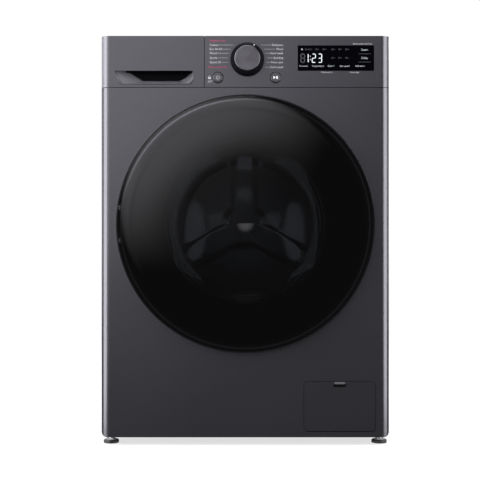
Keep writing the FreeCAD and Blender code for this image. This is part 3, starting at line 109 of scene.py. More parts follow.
# ---- node helpers ----
class Look:
    """A material being built: its nodes, its links and its main shader."""

    def __init__(self, name, colour, rough, metal=0.0, **sockets):
        self.material = bpy.data.materials.new(name)
        self.material.use_nodes = True
        self.material.diffuse_color = (*colour, 1.0)
        self.tree = self.material.node_tree
        self.shader = self.tree.nodes["Principled BSDF"]
        self.output = self.tree.nodes["Material Output"]
        self.set("Base Color", (*colour, 1.0))
        self.set("Roughness", rough)
        self.set("Metallic", metal)
        for socket, value in sockets.items():
            self.set(socket.replace("_", " "), value)
        self.heights = []

    def set(self, socket, value):
        self.shader.inputs[socket].default_value = value

    def node(self, kind, **settings):
        made = self.tree.nodes.new(kind)
        for key, value in settings.items():
            if hasattr(made, key):
                setattr(made, key, value)
            else:
                made.inputs[key.replace("_", " ")].default_value = value
        return made

    def link(self, source, target):
        self.tree.links.new(source, target)

    def place(self, scale=(1.0, 1.0, 1.0)):
        """Object coordinates, stretched by scale."""
        coords = self.node("ShaderNodeTexCoord")
        mapping = self.node("ShaderNodeMapping")
        mapping.inputs["Scale"].default_value = scale
        self.link(coords.outputs["Object"], mapping.inputs["Vector"])
        return mapping.outputs["Vector"]

    def noise(self, scale, detail=3.0, stretch=(1.0, 1.0, 1.0)):
        made = self.node("ShaderNodeTexNoise", Scale=scale, Detail=detail)
        self.link(self.place(stretch), made.inputs["Vector"])
        return made.outputs["Fac"]

    def cells(self, scale, feature="F1"):
        made = self.node("ShaderNodeTexVoronoi", Scale=scale)
        made.feature = feature
        self.link(self.place(), made.inputs["Vector"])
        return made.outputs

    def ramp(self, factor, low, high, start=0.35, end=0.65):
        made = self.node("ShaderNodeValToRGB")
        first, last = made.color_ramp.elements
        first.position, last.position = start, end
        first.color, last.color = (*low, 1.0), (*high, 1.0)
        self.link(factor, made.inputs["Fac"])
        return made.outputs["Color"]

    def paint(self, factor, low, high, start=0.35, end=0.65):
        self.link(self.ramp(factor, low, high, start, end), self.shader.inputs["Base Color"])

    def vary_roughness(self, factor, low, high):
        made = self.node("ShaderNodeMapRange", To_Min=low, To_Max=high, From_Min=0.3, From_Max=0.7)
        self.link(factor, made.inputs["Value"])
        self.link(made.outputs["Result"], self.shader.inputs["Roughness"])

    def bump(self, height, strength, depth):
        """Adds one layer of relief, on top of any that is there already."""
        made = self.node("ShaderNodeBump", Strength=strength, Distance=depth)
        self.link(height, made.inputs["Height"])
        if self.heights:
            self.link(self.heights[-1].outputs["Normal"], made.inputs["Normal"])
        self.heights.append(made)
        self.link(made.outputs["Normal"], self.shader.inputs["Normal"])


def shade(colour, factor):
    return tuple(c * factor for c in colour)


def graphite(name, colour, rough=0.29, metal=0.93):
    """Dark metallic lacquer: fine flake, slight orange peel and a clear coat."""
    look = Look(name, colour, rough, metal, Coat_Weight=0.35, Coat_Roughness=0.16)
    flake = look.cells(1900)["Color"]
    split = look.node("ShaderNodeSeparateColor")
    look.link(flake, split.inputs["Color"])
    look.paint(split.outputs["Red"], shade(colour, 0.93), shade(colour, 1.08), 0.1, 0.9)
    look.vary_roughness(look.noise(7, 2), rough - 0.008, rough + 0.012)
    look.bump(look.noise(620, 2), 0.03, 0.00008)
    return look


def along(look, axis, start, end, shape="LINEAR"):
    """0 before start and 1 after end along one axis of the object, in metres."""
    split = look.node("ShaderNodeSeparateXYZ")
    look.link(look.place(), split.inputs["Vector"])
    step = look.node("ShaderNodeMapRange", From_Min=start, From_Max=end)
    step.interpolation_type = shape
    look.link(split.outputs[axis], step.inputs["Value"])
    return step.outputs["Result"]


def mixed(look, factor, socket, other):
    """Blends what feeds a socket with another colour, by factor."""
    mix = look.node("ShaderNodeMix", data_type="RGBA")
    source = look.shader.inputs[socket].links[0].from_socket
    look.link(factor, mix.inputs["Factor"])
    look.link(source, mix.inputs[6])
    mix.inputs[7].default_value = (*other, 1.0)
    look.link(mix.outputs[2], look.shader.inputs[socket])


def scooped(name, colour):
    """The drawer front's lacquer. The finger scoop is plainer inside, and behind its lip the colour is
    painted near black, a painted shadow under the lip.
    """
    look = graphite(name, colour, 0.3)
    depth = along(look, "Y", FRONT_Y + 0.0008, FRONT_Y + 0.005, "SMOOTHSTEP")
    mixed(look, depth, "Base Color", (0.16, 0.157, 0.175))
    for socket, face, inside in (("Metallic", 0.93, 0.25), ("Coat Weight", 0.35, 0.0),
                                 ("Specular IOR Level", 0.5, 0.05)):
        plain = look.node("ShaderNodeMapRange", From_Min=0.0, From_Max=1.0, To_Min=face, To_Max=inside)
        look.link(depth, plain.inputs["Value"])
        look.link(plain.outputs["Result"], look.shader.inputs[socket])
    # Painted shadow: deeper than the lip the colour goes near black, standing in for the shade under the
    # scoop's undercut lip.
    painted_lip_shadow = along(look, "Y", FRONT_Y + 0.0195, FRONT_Y + 0.0235, "SMOOTHSTEP")
    mixed(look, painted_lip_shadow, "Base Color", (0.001, 0.001, 0.002))
    return look


def levelling_foot(name):
    """A black rubber pad under a bright zinc plated screw and nut."""
    look = rubber(name, (0.012, 0.012, 0.012), 0.5)
    pad_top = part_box("foot_front_left")[0].z + 0.0072
    above = along(look, "Z", pad_top, pad_top + 0.0002)
    mixed(look, above, "Base Color", (0.6, 0.61, 0.62))
    look.link(above, look.shader.inputs["Metallic"])
    return look


def moulded(name, colour, rough, grain=0.25):
    """Injection moulded plastic with a fine spark-eroded grain."""
    look = Look(name, colour, rough)
    look.paint(look.noise(14, 4), shade(colour, 0.93), shade(colour, 1.06))
    look.vary_roughness(look.noise(70, 3), rough - 0.05, rough + 0.06)
    look.bump(look.noise(2200, 2), grain, 0.00008)
    return look


def gloss(name, colour, rough=0.06):
    """High gloss plastic, with the faint swirl that wiping leaves."""
    look = Look(name, colour, rough, Coat_Weight=0.5, Coat_Roughness=0.03)
    look.paint(look.noise(9, 3), shade(colour, 0.9), shade(colour, 1.1))
    look.vary_roughness(look.noise(34, 5, (1.0, 1.0, 0.4)), rough * 0.7, rough * 1.5)
    look.bump(look.noise(240, 2), 0.02, 0.00006)
    return look


def display_glass(name):
    """Smoked display window with an anti-glare coat."""
    look = Look(name, (0.0008, 0.0007, 0.0014), 0.14, Specular_IOR_Level=0.03)
    look.vary_roughness(look.noise(60, 3), 0.11, 0.17)
    look.bump(look.noise(1800, 2), 0.05, 0.00003)
    return look


def brushed(name, colour, rough=0.26, stretch=(1.0, 30.0, 30.0), depth=0.00004):
    """Metal with fine streaks, drawn out along the axes that stretch makes small."""
    look = Look(name, colour, rough, 1.0)
    streaks = look.noise(60, 4, stretch)
    look.paint(streaks, shade(colour, 0.86), shade(colour, 1.08))
    look.vary_roughness(streaks, rough - 0.07, rough + 0.09)
    look.bump(streaks, 0.25, depth)
    return look


def galvanised(name, colour):
    """Zinc coated sheet with its spangle."""
    look = Look(name, colour, 0.42, 0.9)
    spangle = look.node("ShaderNodeSeparateColor")
    look.link(look.cells(150)["Color"], spangle.inputs["Color"])
    look.paint(spangle.outputs["Red"], shade(colour, 0.82), shade(colour, 1.1), 0.0, 1.0)
    look.vary_roughness(spangle.outputs["Green"], 0.34, 0.5)
    look.bump(look.noise(900, 2), 0.08, 0.00005)
    return look


def cast(name, colour, rough=0.5):
    """Cast metal with a coarse skin."""
    look = Look(name, colour, rough, 1.0)
    look.paint(look.noise(45, 5), shade(colour, 0.8), shade(colour, 1.12))
    look.vary_roughness(look.noise(160, 4), rough - 0.1, rough + 0.12)
    look.bump(look.noise(1100, 4), 0.4, 0.00012)
    return look


def rubber(name, colour, rough=0.6):
    """Matt rubber with a faint bloom."""
    look = Look(name, colour, rough, Sheen_Weight=0.12, Sheen_Roughness=0.5)
    look.paint(look.noise(22, 5), shade(colour, 0.85), shade(colour, 1.18))
    look.vary_roughness(look.noise(120, 4), rough - 0.09, rough + 0.1)
    look.bump(look.noise(1500, 3), 0.3, 0.00006)
    return look


def concrete(name):
    """Grey cast concrete, mottled and pitted."""
    look = Look(name, (0.36, 0.35, 0.33), 0.9)
    look.paint(look.noise(38, 7), (0.25, 0.245, 0.23), (0.46, 0.45, 0.42), 0.3, 0.7)
    pits = look.cells(420)["Distance"]
    look.bump(look.noise(260, 6), 0.6, 0.0005)
    look.bump(pits, 0.25, 0.0004)
    return look


def windings(name):
    """Varnished copper coils: wires side by side."""
    look = Look(name, (0.42, 0.16, 0.06), 0.3, 0.85, Coat_Weight=0.6, Coat_Roughness=0.12)
    wires = look.node("ShaderNodeTexWave", Scale=420, Distortion=0.4, Detail=1.0)
    wires.wave_type, wires.bands_direction = "BANDS", "Y"
    look.link(look.place(), wires.inputs["Vector"])
    look.paint(wires.outputs["Fac"], (0.2, 0.06, 0.02), (0.56, 0.24, 0.09), 0.15, 0.7)
    look.bump(wires.outputs["Fac"], 0.6, 0.0004)
    return look


def circuit_board(name):
    """Green board with rows of tracks."""
    look = Look(name, (0.02, 0.11, 0.05), 0.32, Coat_Weight=0.5, Coat_Roughness=0.1)
    tracks = look.node("ShaderNodeTexBrick", Scale=90, Mortar_Size=0.03, Brick_Width=0.9,
                       Row_Height=0.22)
    tracks.inputs["Color1"].default_value = (0.012, 0.075, 0.03, 1)
    tracks.inputs["Color2"].default_value = (0.018, 0.1, 0.042, 1)
    tracks.inputs["Mortar"].default_value = (0.05, 0.2, 0.09, 1)
    turn = look.node("ShaderNodeMapping")
    turn.inputs["Rotation"].default_value = (math.pi / 2, 0, 0)
    look.link(look.place(), turn.inputs["Vector"])
    look.link(turn.outputs["Vector"], tracks.inputs["Vector"])
    look.link(tracks.outputs["Color"], look.shader.inputs["Base Color"])
    return look


def pane(name, tint):
    """A sheet of glass or clear plastic: what is behind shows through it, tinted, and it mirrors."""
    look = Look(name, tint, 0.0)
    clear = look.node("ShaderNodeBsdfTransparent")
    clear.inputs["Color"].default_value = (*tint, 1.0)
    shine = look.node("ShaderNodeBsdfGlossy", Roughness=0.0)
    shine.inputs["Color"].default_value = (1, 1, 1, 1)
    edge = look.node("ShaderNodeFresnel", IOR=1.46)
    blend = look.node("ShaderNodeMixShader")
    look.link(edge.outputs["Fac"], blend.inputs["Fac"])
    look.link(clear.outputs["BSDF"], blend.inputs[1])
    look.link(shine.outputs["BSDF"], blend.inputs[2])
    look.link(blend.outputs["Shader"], look.output.inputs["Surface"])
    look.tree.nodes.remove(look.shader)
    return look


def glow(name, colour, strength):
    """A lit mark."""
    look = Look(name, shade(colour, 0.4), 0.5, Emission_Strength=strength)
    look.set("Emission Color", (*colour, 1.0))
    return look


def knob_plastic(name):
    """Near black plastic that hardly shines."""
    look = Look(name, (0.0035, 0.0033, 0.0048), 0.5, Specular_IOR_Level=0.03)
    look.vary_roughness(look.noise(90, 3), 0.5, 0.62)
    look.bump(look.noise(2600, 2), 0.2, 0.00005)
    return look


def printed(name, colour):
    """Ink printed on a face."""
    look = Look(name, colour, 0.45)
    look.bump(look.noise(3000, 1), 0.1, 0.00002)
    return look


GRAPHITE = (0.088, 0.085, 0.097)
PAINT = graphite("graphite_paint", GRAPHITE)
SIDE_PAINT = graphite("graphite_paint_side", shade(GRAPHITE, 0.96), 0.34)
FASCIA = graphite("graphite_fascia", shade(GRAPHITE, 1.02), 0.3)
DRAWER_FACE = scooped("graphite_drawer", GRAPHITE)
FLAP_PAINT = graphite("graphite_flap", shade(GRAPHITE, 0.92), 0.3)
TOP_PLASTIC = graphite("graphite_top", GRAPHITE, 0.4, 0.75)
BLACK_GLOSS = gloss("black_gloss", (0.006, 0.006, 0.008))
DOOR_MASK = gloss("black_print", (0.004, 0.004, 0.006), 0.1)
BLACK_SATIN = moulded("black_satin", (0.014, 0.014, 0.016), 0.42)
GREY_PLASTIC = moulded("grey_plastic", (0.2, 0.205, 0.215), 0.4)
LIFTER_PLASTIC = moulded("lifter_plastic", (0.17, 0.175, 0.185), 0.34)
LIGHT_PLASTIC = moulded("light_plastic", (0.56, 0.57, 0.58), 0.5)
TUB_PLASTIC = moulded("tub_plastic", (0.42, 0.43, 0.44), 0.55, 0.4)
WHITE_PLASTIC = moulded("white_plastic", (0.72, 0.72, 0.7), 0.45)
BLUE_PLASTIC = moulded("blue_plastic", (0.03, 0.12, 0.42), 0.35)
KNOB_SKIRT = knob_plastic("knob_skirt")
CAP_METAL = brushed("knob_cap_metal", (0.135, 0.13, 0.145), 0.36, (1.0, 1.0, 1.0), 0.00001)
BEZEL = moulded("button_bezel", (0.006, 0.006, 0.008), 0.55)
BUTTON = graphite("button_metal", shade(GRAPHITE, 0.8), 0.3, 0.7)
STEEL = brushed("steel", (0.56, 0.56, 0.57))
DRUM_STEEL = brushed("drum_steel", (0.62, 0.62, 0.63), 0.2, (6.0, 0.3, 6.0), 0.00002)
GALVANISED = galvanised("galvanised", (0.46, 0.47, 0.48))
ZINC = cast("cast_zinc", (0.5, 0.51, 0.52))
CAST_ALLOY = cast("cast_alloy", (0.44, 0.45, 0.46), 0.55)
FOOT = levelling_foot("levelling_foot")
BLACK_RUBBER = rubber("black_rubber", (0.014, 0.014, 0.014))
GASKET_RUBBER = rubber("gasket_rubber", (0.13, 0.13, 0.138), 0.5)
CONCRETE = concrete("concrete")
COPPER = windings("copper_windings")
BOARD = circuit_board("circuit_board")
DOME = pane("smoked_dome", (0.3, 0.3, 0.32))
BOWL = pane("bowl_glass", (0.86, 0.89, 0.89))
LENS_GLASS = display_glass("display_glass")
INK = printed("pale_ink", (0.4, 0.4, 0.42))
INK_BRIGHT = printed("bright_ink", (0.85, 0.85, 0.86))
DIM_INK = printed("dim_ink", (0.05, 0.05, 0.057))
RED_INK = printed("crimson_ink", (0.34, 0.025, 0.09))
LIT = glow("lit_digits", (0.95, 0.97, 1.0), 0.9)
HALF_LIT = glow("half_lit", (0.85, 0.88, 0.95), 0.02)

LOOK_OF = {
    "cabinet_sides": SIDE_PAINT, "cabinet_back": SIDE_PAINT, "front_panel": PAINT, "control_panel": FASCIA,
    "drawer_front": DRAWER_FACE, "worktop": TOP_PLASTIC, "filter_flap": FLAP_PAINT,
    "base_pan": BLACK_SATIN, "rear_cover": GALVANISED, "top_brace": GALVANISED,
    "display_lens": LENS_GLASS, "control_board": BOARD, "dispenser_housing": LIGHT_PLASTIC,
    "drawer_tray": LIGHT_PLASTIC, "siphon_cap": BLUE_PLASTIC, "inlet_valve": WHITE_PLASTIC,
    "inlet_hose": BLACK_RUBBER, "rear_plugs": BLACK_SATIN, "door_lock": BLACK_SATIN,
    "door_hook": BLACK_SATIN, "hinge_bracket": ZINC, "door_hinge_leaf": ZINC,
    "cabinet_fixings": STEEL, "pump_housing": LIGHT_PLASTIC, "pump_impeller": WHITE_PLASTIC,
    "drain_tube": GREY_PLASTIC, "drain_filter": BLACK_SATIN, "filter_surround": BLACK_SATIN,
    "damper_cylinders": BLACK_SATIN, "damper_rods": LIGHT_PLASTIC,
    "drum_front": DRUM_STEEL,
    "tub_front": TUB_PLASTIC, "tub_rear": TUB_PLASTIC, "tub_seal": BLACK_RUBBER,
    "counterweights": CONCRETE, "heater": STEEL, "drum_bearings": STEEL, "stator": COPPER,
    "drum_lifters": LIFTER_PLASTIC, "drum_spider": CAST_ALLOY, "rotor": GALVANISED,
    "rotor_bolt": STEEL, "drum_back": DRUM_STEEL, "drum_shell": DRUM_STEEL,
    "door_rim": BLACK_GLOSS, "door_cover": DOME, "door_bowl": BOWL,
    "door_inner_frame": BLACK_SATIN, "knob_base": KNOB_SKIRT, "knob_cap": CAP_METAL,
    "power_button": BUTTON, "start_button": BUTTON, "door_gasket": GASKET_RUBBER,
    "suspension_springs": STEEL, "sump_hose": BLACK_RUBBER, "fill_hose": BLACK_RUBBER,
}
for foot in ("front_left", "front_right", "rear_left", "rear_right"):
    LOOK_OF[f"foot_{foot}"] = FOOT
for node, look in LOOK_OF.items():
    NODES[node].data.materials.clear()
    NODES[node].data.materials.append(look.material)


# ---- mesh helpers ----
def piece(name, mesh, look, body, smooth):
    """A visible piece from a mesh. It rides a body if one is named, and is smooth up to an angle."""
    if isinstance(mesh, bmesh.types.BMesh):
        data = bpy.data.meshes.new(name)
        mesh.to_mesh(data)
        mesh.free()
        mesh = data
    mesh.materials.clear()
    mesh.materials.append(look.material)
    made = bpy.data.objects.new(name, mesh)
    bpy.context.scene.collection.objects.link(made)
    if smooth:
        mesh.polygons.foreach_set("use_smooth", [True] * len(mesh.polygons))
        mesh.set_sharp_from_angle(angle=math.radians(smooth))
    if body:
        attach(made, body)
    return made


def skin(mesh, rings, closed=True):
    """Faces between each ring of vertices and the next, all the way round."""
    count = len(rings[0])
    for a, b in zip(rings, rings[1:] + rings[:1]):
        for k in range(count if closed else count - 1):
            n = (k + 1) % count
            mesh.faces.new((a[k], a[n], b[n], b[k]))
    bmesh.ops.recalc_face_normals(mesh, faces=mesh.faces)
    return mesh


def revolve(profile, segments, closed=True, x=0.0, z=AXIS_Z):
    """A mesh turned about the front to back axis through x, z from (radius, y) points."""
    mesh, rings = bmesh.new(), []
    for i in range(segments):
        a = 2 * math.pi * i / segments
        rings.append([mesh.verts.new((x + r * math.cos(a), y, z + r * math.sin(a))) for r, y in profile])
    return skin(mesh, rings, closed)


def rounded(points, radius, steps):
    """The closed (a, b) polygon with its corners turned into short arcs."""
    out = []
    for i, p in enumerate(points):
        here = Vector(p)
        before, after = Vector(points[i - 1]), Vector(points[(i + 1) % len(points)])
        back, ahead = before - here, after - here
        reach = min(radius, back.length * 0.45, ahead.length * 0.45)
        first, last = here + back.normalized() * reach, here + ahead.normalized() * reach
        for step in range(steps + 1):
            t = step / steps
            q = first * (1 - t) ** 2 + here * 2 * t * (1 - t) + last * t ** 2
            out.append((q.x, q.y))
    return out


def as_mesh(curve):
    """The mesh that a curve or a text makes."""
    temp = bpy.data.objects.new(curve.name, curve)
    bpy.context.scene.collection.objects.link(temp)
    bpy.context.view_layer.update()
    mesh = bpy.data.meshes.new_from_object(temp.evaluated_get(bpy.context.evaluated_depsgraph_get()))
    bpy.data.objects.remove(temp)
    return mesh


def tube(name, points, radius, look, resolution, segments):
    """A round wire or hose along smooth points, as a mesh."""
    curve = bpy.data.curves.new(name, "CURVE")
    curve.dimensions = "3D"
    curve.bevel_depth = radius
    curve.bevel_resolution = segments
    curve.use_fill_caps = True
    spline = curve.splines.new("NURBS")
    spline.points.add(len(points) - 1)
    for point, place in zip(spline.points, points):
        point.co = (*place, 1.0)
    spline.order_u = 3
    spline.use_endpoint_u = True
    spline.resolution_u = resolution
    return piece(name, as_mesh(curve), look, None, 50)


def join(name, pieces, look):
    """Several meshes as one."""
    mesh = bmesh.new()
    for p in pieces:
        mesh.from_mesh(p.data)
    data = bpy.data.meshes.new(name)
    mesh.to_mesh(data)
    mesh.free()
    for p in pieces:
        bpy.data.objects.remove(p)
    return piece(name, data, look, None, 50)


# ---- the drum ----
def thicken(made):
    """Gives a surface the thickness of drum sheet."""
    solid = made.modifiers.new("sheet", "SOLIDIFY")
    solid.thickness, solid.offset = SHEET, 0.0


def perforated_drum():
    """The drum wall with rows of small holes, each with a slightly raised edge."""
    columns, hole_r, raised = 88, 0.0022, 0.0005
    y0, y1 = drum_low.y, drum_high.y - 0.004
    first, last = y0 + 0.012, y1 - 0.020
    pitch = 2 * math.pi * DRUM_R / columns
    rows = int((last - first) / (pitch * 0.88))
    step = (last - first) / rows
    mesh, made = bmesh.new(), {}

    def vert(u, y, lift=0.0):
        """A vertex at u columns round the wall. Cells share the ones on their edges."""
        key = (round(u * 1000) % (columns * 1000), round(y * 1e6))
        if key not in made:
            a, r = 2 * math.pi * u / columns, DRUM_R + lift
            made[key] = mesh.verts.new((r * math.cos(a), y, AXIS_Z + r * math.sin(a)))
        return made[key]

    ring_y = [first + step * k for k in range(rows + 1)]
    for k in range(rows):
        shift = 0.5 if k % 2 else 0.0
        low, high = ring_y[k], ring_y[k + 1]
        middle = (low + high) / 2
        for i in range(columns):
            u = i + shift
            edge = [(u, low), (u + 0.5, low), (u + 1, low), (u + 1, middle), (u + 1, high),
                    (u + 0.5, high), (u, high), (u, middle)]
            rim = []
            for n in range(8):
                a = math.radians(225 + 45 * n)
                rim.append((u + 0.5 + hole_r * math.cos(a) / pitch, middle + hole_r * math.sin(a)))
            outer = [vert(*p) for p in edge]
            inner = [vert(*p, lift=raised) for p in rim]
            for n in range(8):
                m = (n + 1) % 8
                mesh.faces.new((outer[n], outer[m], inner[m], inner[n]))
    for a, b in ((y0, first), (last, y1)):
        for i in range(columns * 2):
            u = i / 2
            mesh.faces.new((vert(u, a), vert(u + 0.5, a), vert(u + 0.5, b), vert(u, b)))
    bmesh.ops.recalc_face_normals(mesh, faces=mesh.faces)
    drum = piece("perforated_drum", mesh, DRUM_STEEL, "drum", 50)
    thicken(drum)
    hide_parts("drum_shell")


def pressed_drum_back():
    """The drum's rear wall, with a three armed star pressed into it."""
    low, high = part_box("drum_back")
    r_max, y_edge, y_front = (high.x - low.x) / 2, high.y, low.y
    segments, rings = 216, 54
    star_r, hub_r, relief, ridge = 0.222, 0.052, 0.0085, 0.0011
    mesh = bmesh.new()

    def height(r, a):
        """How far forward the wall stands, in metres."""
        arm = abs((math.degrees(a) - 90 + 60) % 120 - 60)
        half = math.degrees(math.atan2(0.034 - 0.055 * (r - 0.06), max(r, 0.03)))
        star = 1 / (1 + math.exp((arm - half) / 1.3)) if r < star_r else 0.0
        fade = min(1.0, max(0.0, (star_r - r) / 0.012))
        hub = 1 / (1 + math.exp((r - hub_r) / 0.003))
        ribs = ridge * math.sin((r - 0.09) * 2 * math.pi / 0.012) if 0.1 < r < 0.21 else 0.0
        return max(star * fade, hub) * relief + (ribs * (1 - star) if hub < 0.1 else 0.0)

    centre = mesh.verts.new((0, y_front + 0.0135 - height(0, 0), AXIS_Z))
    before = None
    for k in range(1, rings + 1):
        r = r_max * k / rings
        ring = []
        for i in range(segments):
            a = 2 * math.pi * i / segments
            y = min(y_edge - 0.0045, y_front + 0.0125 - height(r, a))
            y = max(y, y_front + 0.0002)
            ring.append(mesh.verts.new((r * math.cos(a), y, AXIS_Z + r * math.sin(a))))
        for i in range(segments):
            n = (i + 1) % segments
            if before is None:
                mesh.faces.new((centre, ring[n], ring[i]))
            else:
                mesh.faces.new((before[i], before[n], ring[n], ring[i]))
        before = ring
    bmesh.ops.recalc_face_normals(mesh, faces=mesh.faces)
    back = piece("pressed_drum_back", mesh, DRUM_STEEL, "drum", 60)
    thicken(back)
    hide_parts("drum_back")


# ---- pieces that stretch between the cabinet and the hanging tub ----
def door_boot():
    """The rubber bellows round the mouth: lip, fold and the cuff on the tub's neck."""
    y, c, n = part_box("door_lock")[0].y - 0.0012, MOUTH_R / MM, NECK_R / MM
    lip = [(c + 7, -2.4), (c - 0.5, -2.5), (c - 3.6, -1.4), (c - 12, 1.2), (c - 19, 0.4), (c - 24.3, -2.2),
           (c - 25, -0.4), (c - 20, 3.0), (c - 12, 5), (c - 4.4, 5.6)]
    fold = [(c - 3.4, 10), (c - 3.4, 16.5), (c + 0.5, 20.2), (c + 8, 21.6), (c + 11.2, 25.5), (c + 8, 29.2)]
    cuff = [(n - 1, 31), (n - 4.8, 34), (n - 5.8, 37.6), (n - 3, 38.2), (n - 1.6, 36), (n + 0.15, 35.7),
            (n + 0.15, 52), (n + 3.1, 52), (n + 3.1, 34.4)]
    outside = [(c + 9, 32.2), (c + 14, 29), (c + 14.3, 22.5), (c + 9, 18.9), (c + 1.5, 17), (c - 0.15, 15),
               (c - 0.15, -0.15), (c + 7, -0.15)]
    profile = [(r * MM, y + back * MM) for r, back in lip + fold + cuff + outside]
    boot = piece("door_boot", revolve(rounded(profile, 1.6 * MM, 3), 200), GASKET_RUBBER, None, 60)
    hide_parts("door_gasket")
    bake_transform(boot)


def hanging_springs():
    """The two coil springs that the tub hangs from, hooked at both ends."""
    low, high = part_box("suspension_springs")
    y = (low.y + high.y) / 2
    wire, coil_r, turns, steps = 0.0022, 0.0156, 15, 12
    top, bottom = high.z - wire, low.z + wire
    coil_top, coil_bottom = top - 0.0205, bottom + 0.0205
    made = []
    for side in (-1, 1):
        x = side * 0.205
        points = [(x, y - 0.0078, top), (x, y, top + 0.0001), (x, y + 0.0078, top),
                  (x, y + 0.009, top - 0.004), (x, y + 0.008, top - 0.014),
                  (x + 0.006, y + 0.006, top - 0.019)]
        for i in range(turns * steps + 1):
            a = 2 * math.pi * i / steps
            points.append((x + coil_r * math.cos(a), y + coil_r * math.sin(a),
                           coil_top + (coil_bottom - coil_top) * i / (turns * steps)))
        points += [(x + 0.006, y + 0.006, bottom + 0.019), (x, y + 0.008, bottom + 0.014),
                   (x, y + 0.009, bottom + 0.004), (x, y + 0.0078, bottom), (x, y, bottom - 0.0001),
                   (x, y - 0.0078, bottom)]
        made.append(tube(f"spring_{side}", points, wire, STEEL, 3, 4))
    springs = join("hanging_springs", made, STEEL)
    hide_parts("suspension_springs")
    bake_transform(springs)


def fill_bellows():
    """The ribbed hose from the dispenser to the tub."""
    low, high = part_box("fill_hose")
    x, y, tall = (low.x + high.x) / 2, (low.y + high.y) / 2, high.z - low.z
    outer_r, inner_r, ribs, pitch, segments = 0.0231, 0.0203, 5, 0.0076, 56
    profile = [(outer_r, 0.0)]
    for k in range(ribs):
        h = 0.010 + pitch * k
        profile += [(outer_r, h), (0.0252, h + 0.0012), (0.0262, h + 0.0036), (0.0252, h + 0.0060)]
    profile += [(outer_r, tall - 0.008), (outer_r, tall), (inner_r, tall), (inner_r, 0.0)]
    mesh, rings = bmesh.new(), []
    for i in range(segments):
        a = 2 * math.pi * i / segments
        rings.append([mesh.verts.new((x + r * math.cos(a), y + r * math.sin(a), low.z + h))
                      for r, h in profile])
    made = piece("fill_bellows", skin(mesh, rings), BLACK_RUBBER, None, 50)
    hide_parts("fill_hose")
    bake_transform(made)


def sump_boot():
    """The hose between the tub's sump and the pump, straight at both ends."""
    low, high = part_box("sump_hose")
    x0, y0, z0 = start = (high.x - 0.0245, low.y + 0.0241, low.z)
    x1, y1, z1 = end = (low.x + 0.0245, high.y - 0.0241, high.z)
    points = [start, (x0, y0, z0 + 0.022), (x0 - 0.002, y0 + 0.002, z0 + 0.040),
              (0.5 * (x0 + x1), 0.5 * (y0 + y1), 0.5 * (z0 + z1)),
              (x1 + 0.002, y1 - 0.002, z1 - 0.040), (x1, y1, z1 - 0.022), end]
    made = tube("sump_boot", points, 0.0208, BLACK_RUBBER, 14, 12)
    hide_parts("sump_hose")
    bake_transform(made)


# ---- the door ----
def door_print():
    """The black band printed on the inside of the dome."""
    cover = NODES["door_cover"]
    tree = BVHTree.FromObject(cover, bpy.context.evaluated_depsgraph_get())

    def inside(r):
        """The y just behind the dome's inner face at radius r."""
        hit = tree.ray_cast(Vector((r, bowl_low.y + 0.02, AXIS_Z)), Vector((0, -1, 0)))[0]
        return hit.y + 0.00035

    inner_r, outer_r, steps = 0.1895, DOOR_R - 0.0075, 18
    radii = [inner_r + (outer_r - inner_r) * i / steps for i in range(steps + 1)]
    front = [(r, inside(r)) for r in radii]
    back = [(r, y + 0.0006) for r, y in reversed(front)]
    band = piece("door_print", revolve(front + back, 240), DOOR_MASK, "door", 40)


def bowl_ring():
    """The dark ring that frames the bowl, seen through the dome."""
    y = bowl_low.y - 0.0014
    profile = [(0.1900, y - 0.0006), (0.1838, y - 0.0006), (0.1826, y + 0.0002), (0.1826, y + 0.0008),
               (0.1838, y + 0.0001), (0.1900, y + 0.0001)]
    ring = piece("bowl_ring", revolve(rounded(profile, 0.0003, 2), 200), BLACK_SATIN, "door", 40)


def seam_seal():
    """The rubber strip that closes the top of the joint between the drawer front and the control strip."""
    left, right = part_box("drawer_front")[1].x + 0.0001, strip_low.x - 0.0001
    middle = ((left + right) / 2, FRONT_Y + 0.014, strip_high.z - 0.0060)
    size = (right - left, 0.018, 0.0110)
    mesh = bmesh.new()
    bmesh.ops.create_cube(mesh, size=1.0)
    for vertex in mesh.verts:
        vertex.co = [m + c * length for m, c, length in zip(middle, vertex.co, size)]
    seal = piece("seam_seal", mesh, BLACK_RUBBER, "cabinet", 0)


def frame_screws():
    """The screws that hold the door's two mouldings together, none beside the hinge or the hook."""
    y, circle_r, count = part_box("door_inner_frame")[1].y, 0.2085, 10
    profile = [(0.0001, y + 0.0012), (0.0018, y + 0.0011), (0.0030, y + 0.0007), (0.0036, y + 0.0001),
               (0.0036, y - 0.0004), (0.0001, y - 0.0004)]
    heads = []
    for i in range(count):
        a = math.radians(18 + 360 / count * i)
        x, z = circle_r * math.cos(a), AXIS_Z + circle_r * math.sin(a)
        if abs(x) < 0.18 or abs(z - AXIS_Z) > 0.06:
            heads.append(piece("head", revolve(profile, 20, False, x, z), STEEL, None, 40))
    made = join("door_frame_screws", heads, STEEL)
    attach(made, "door")


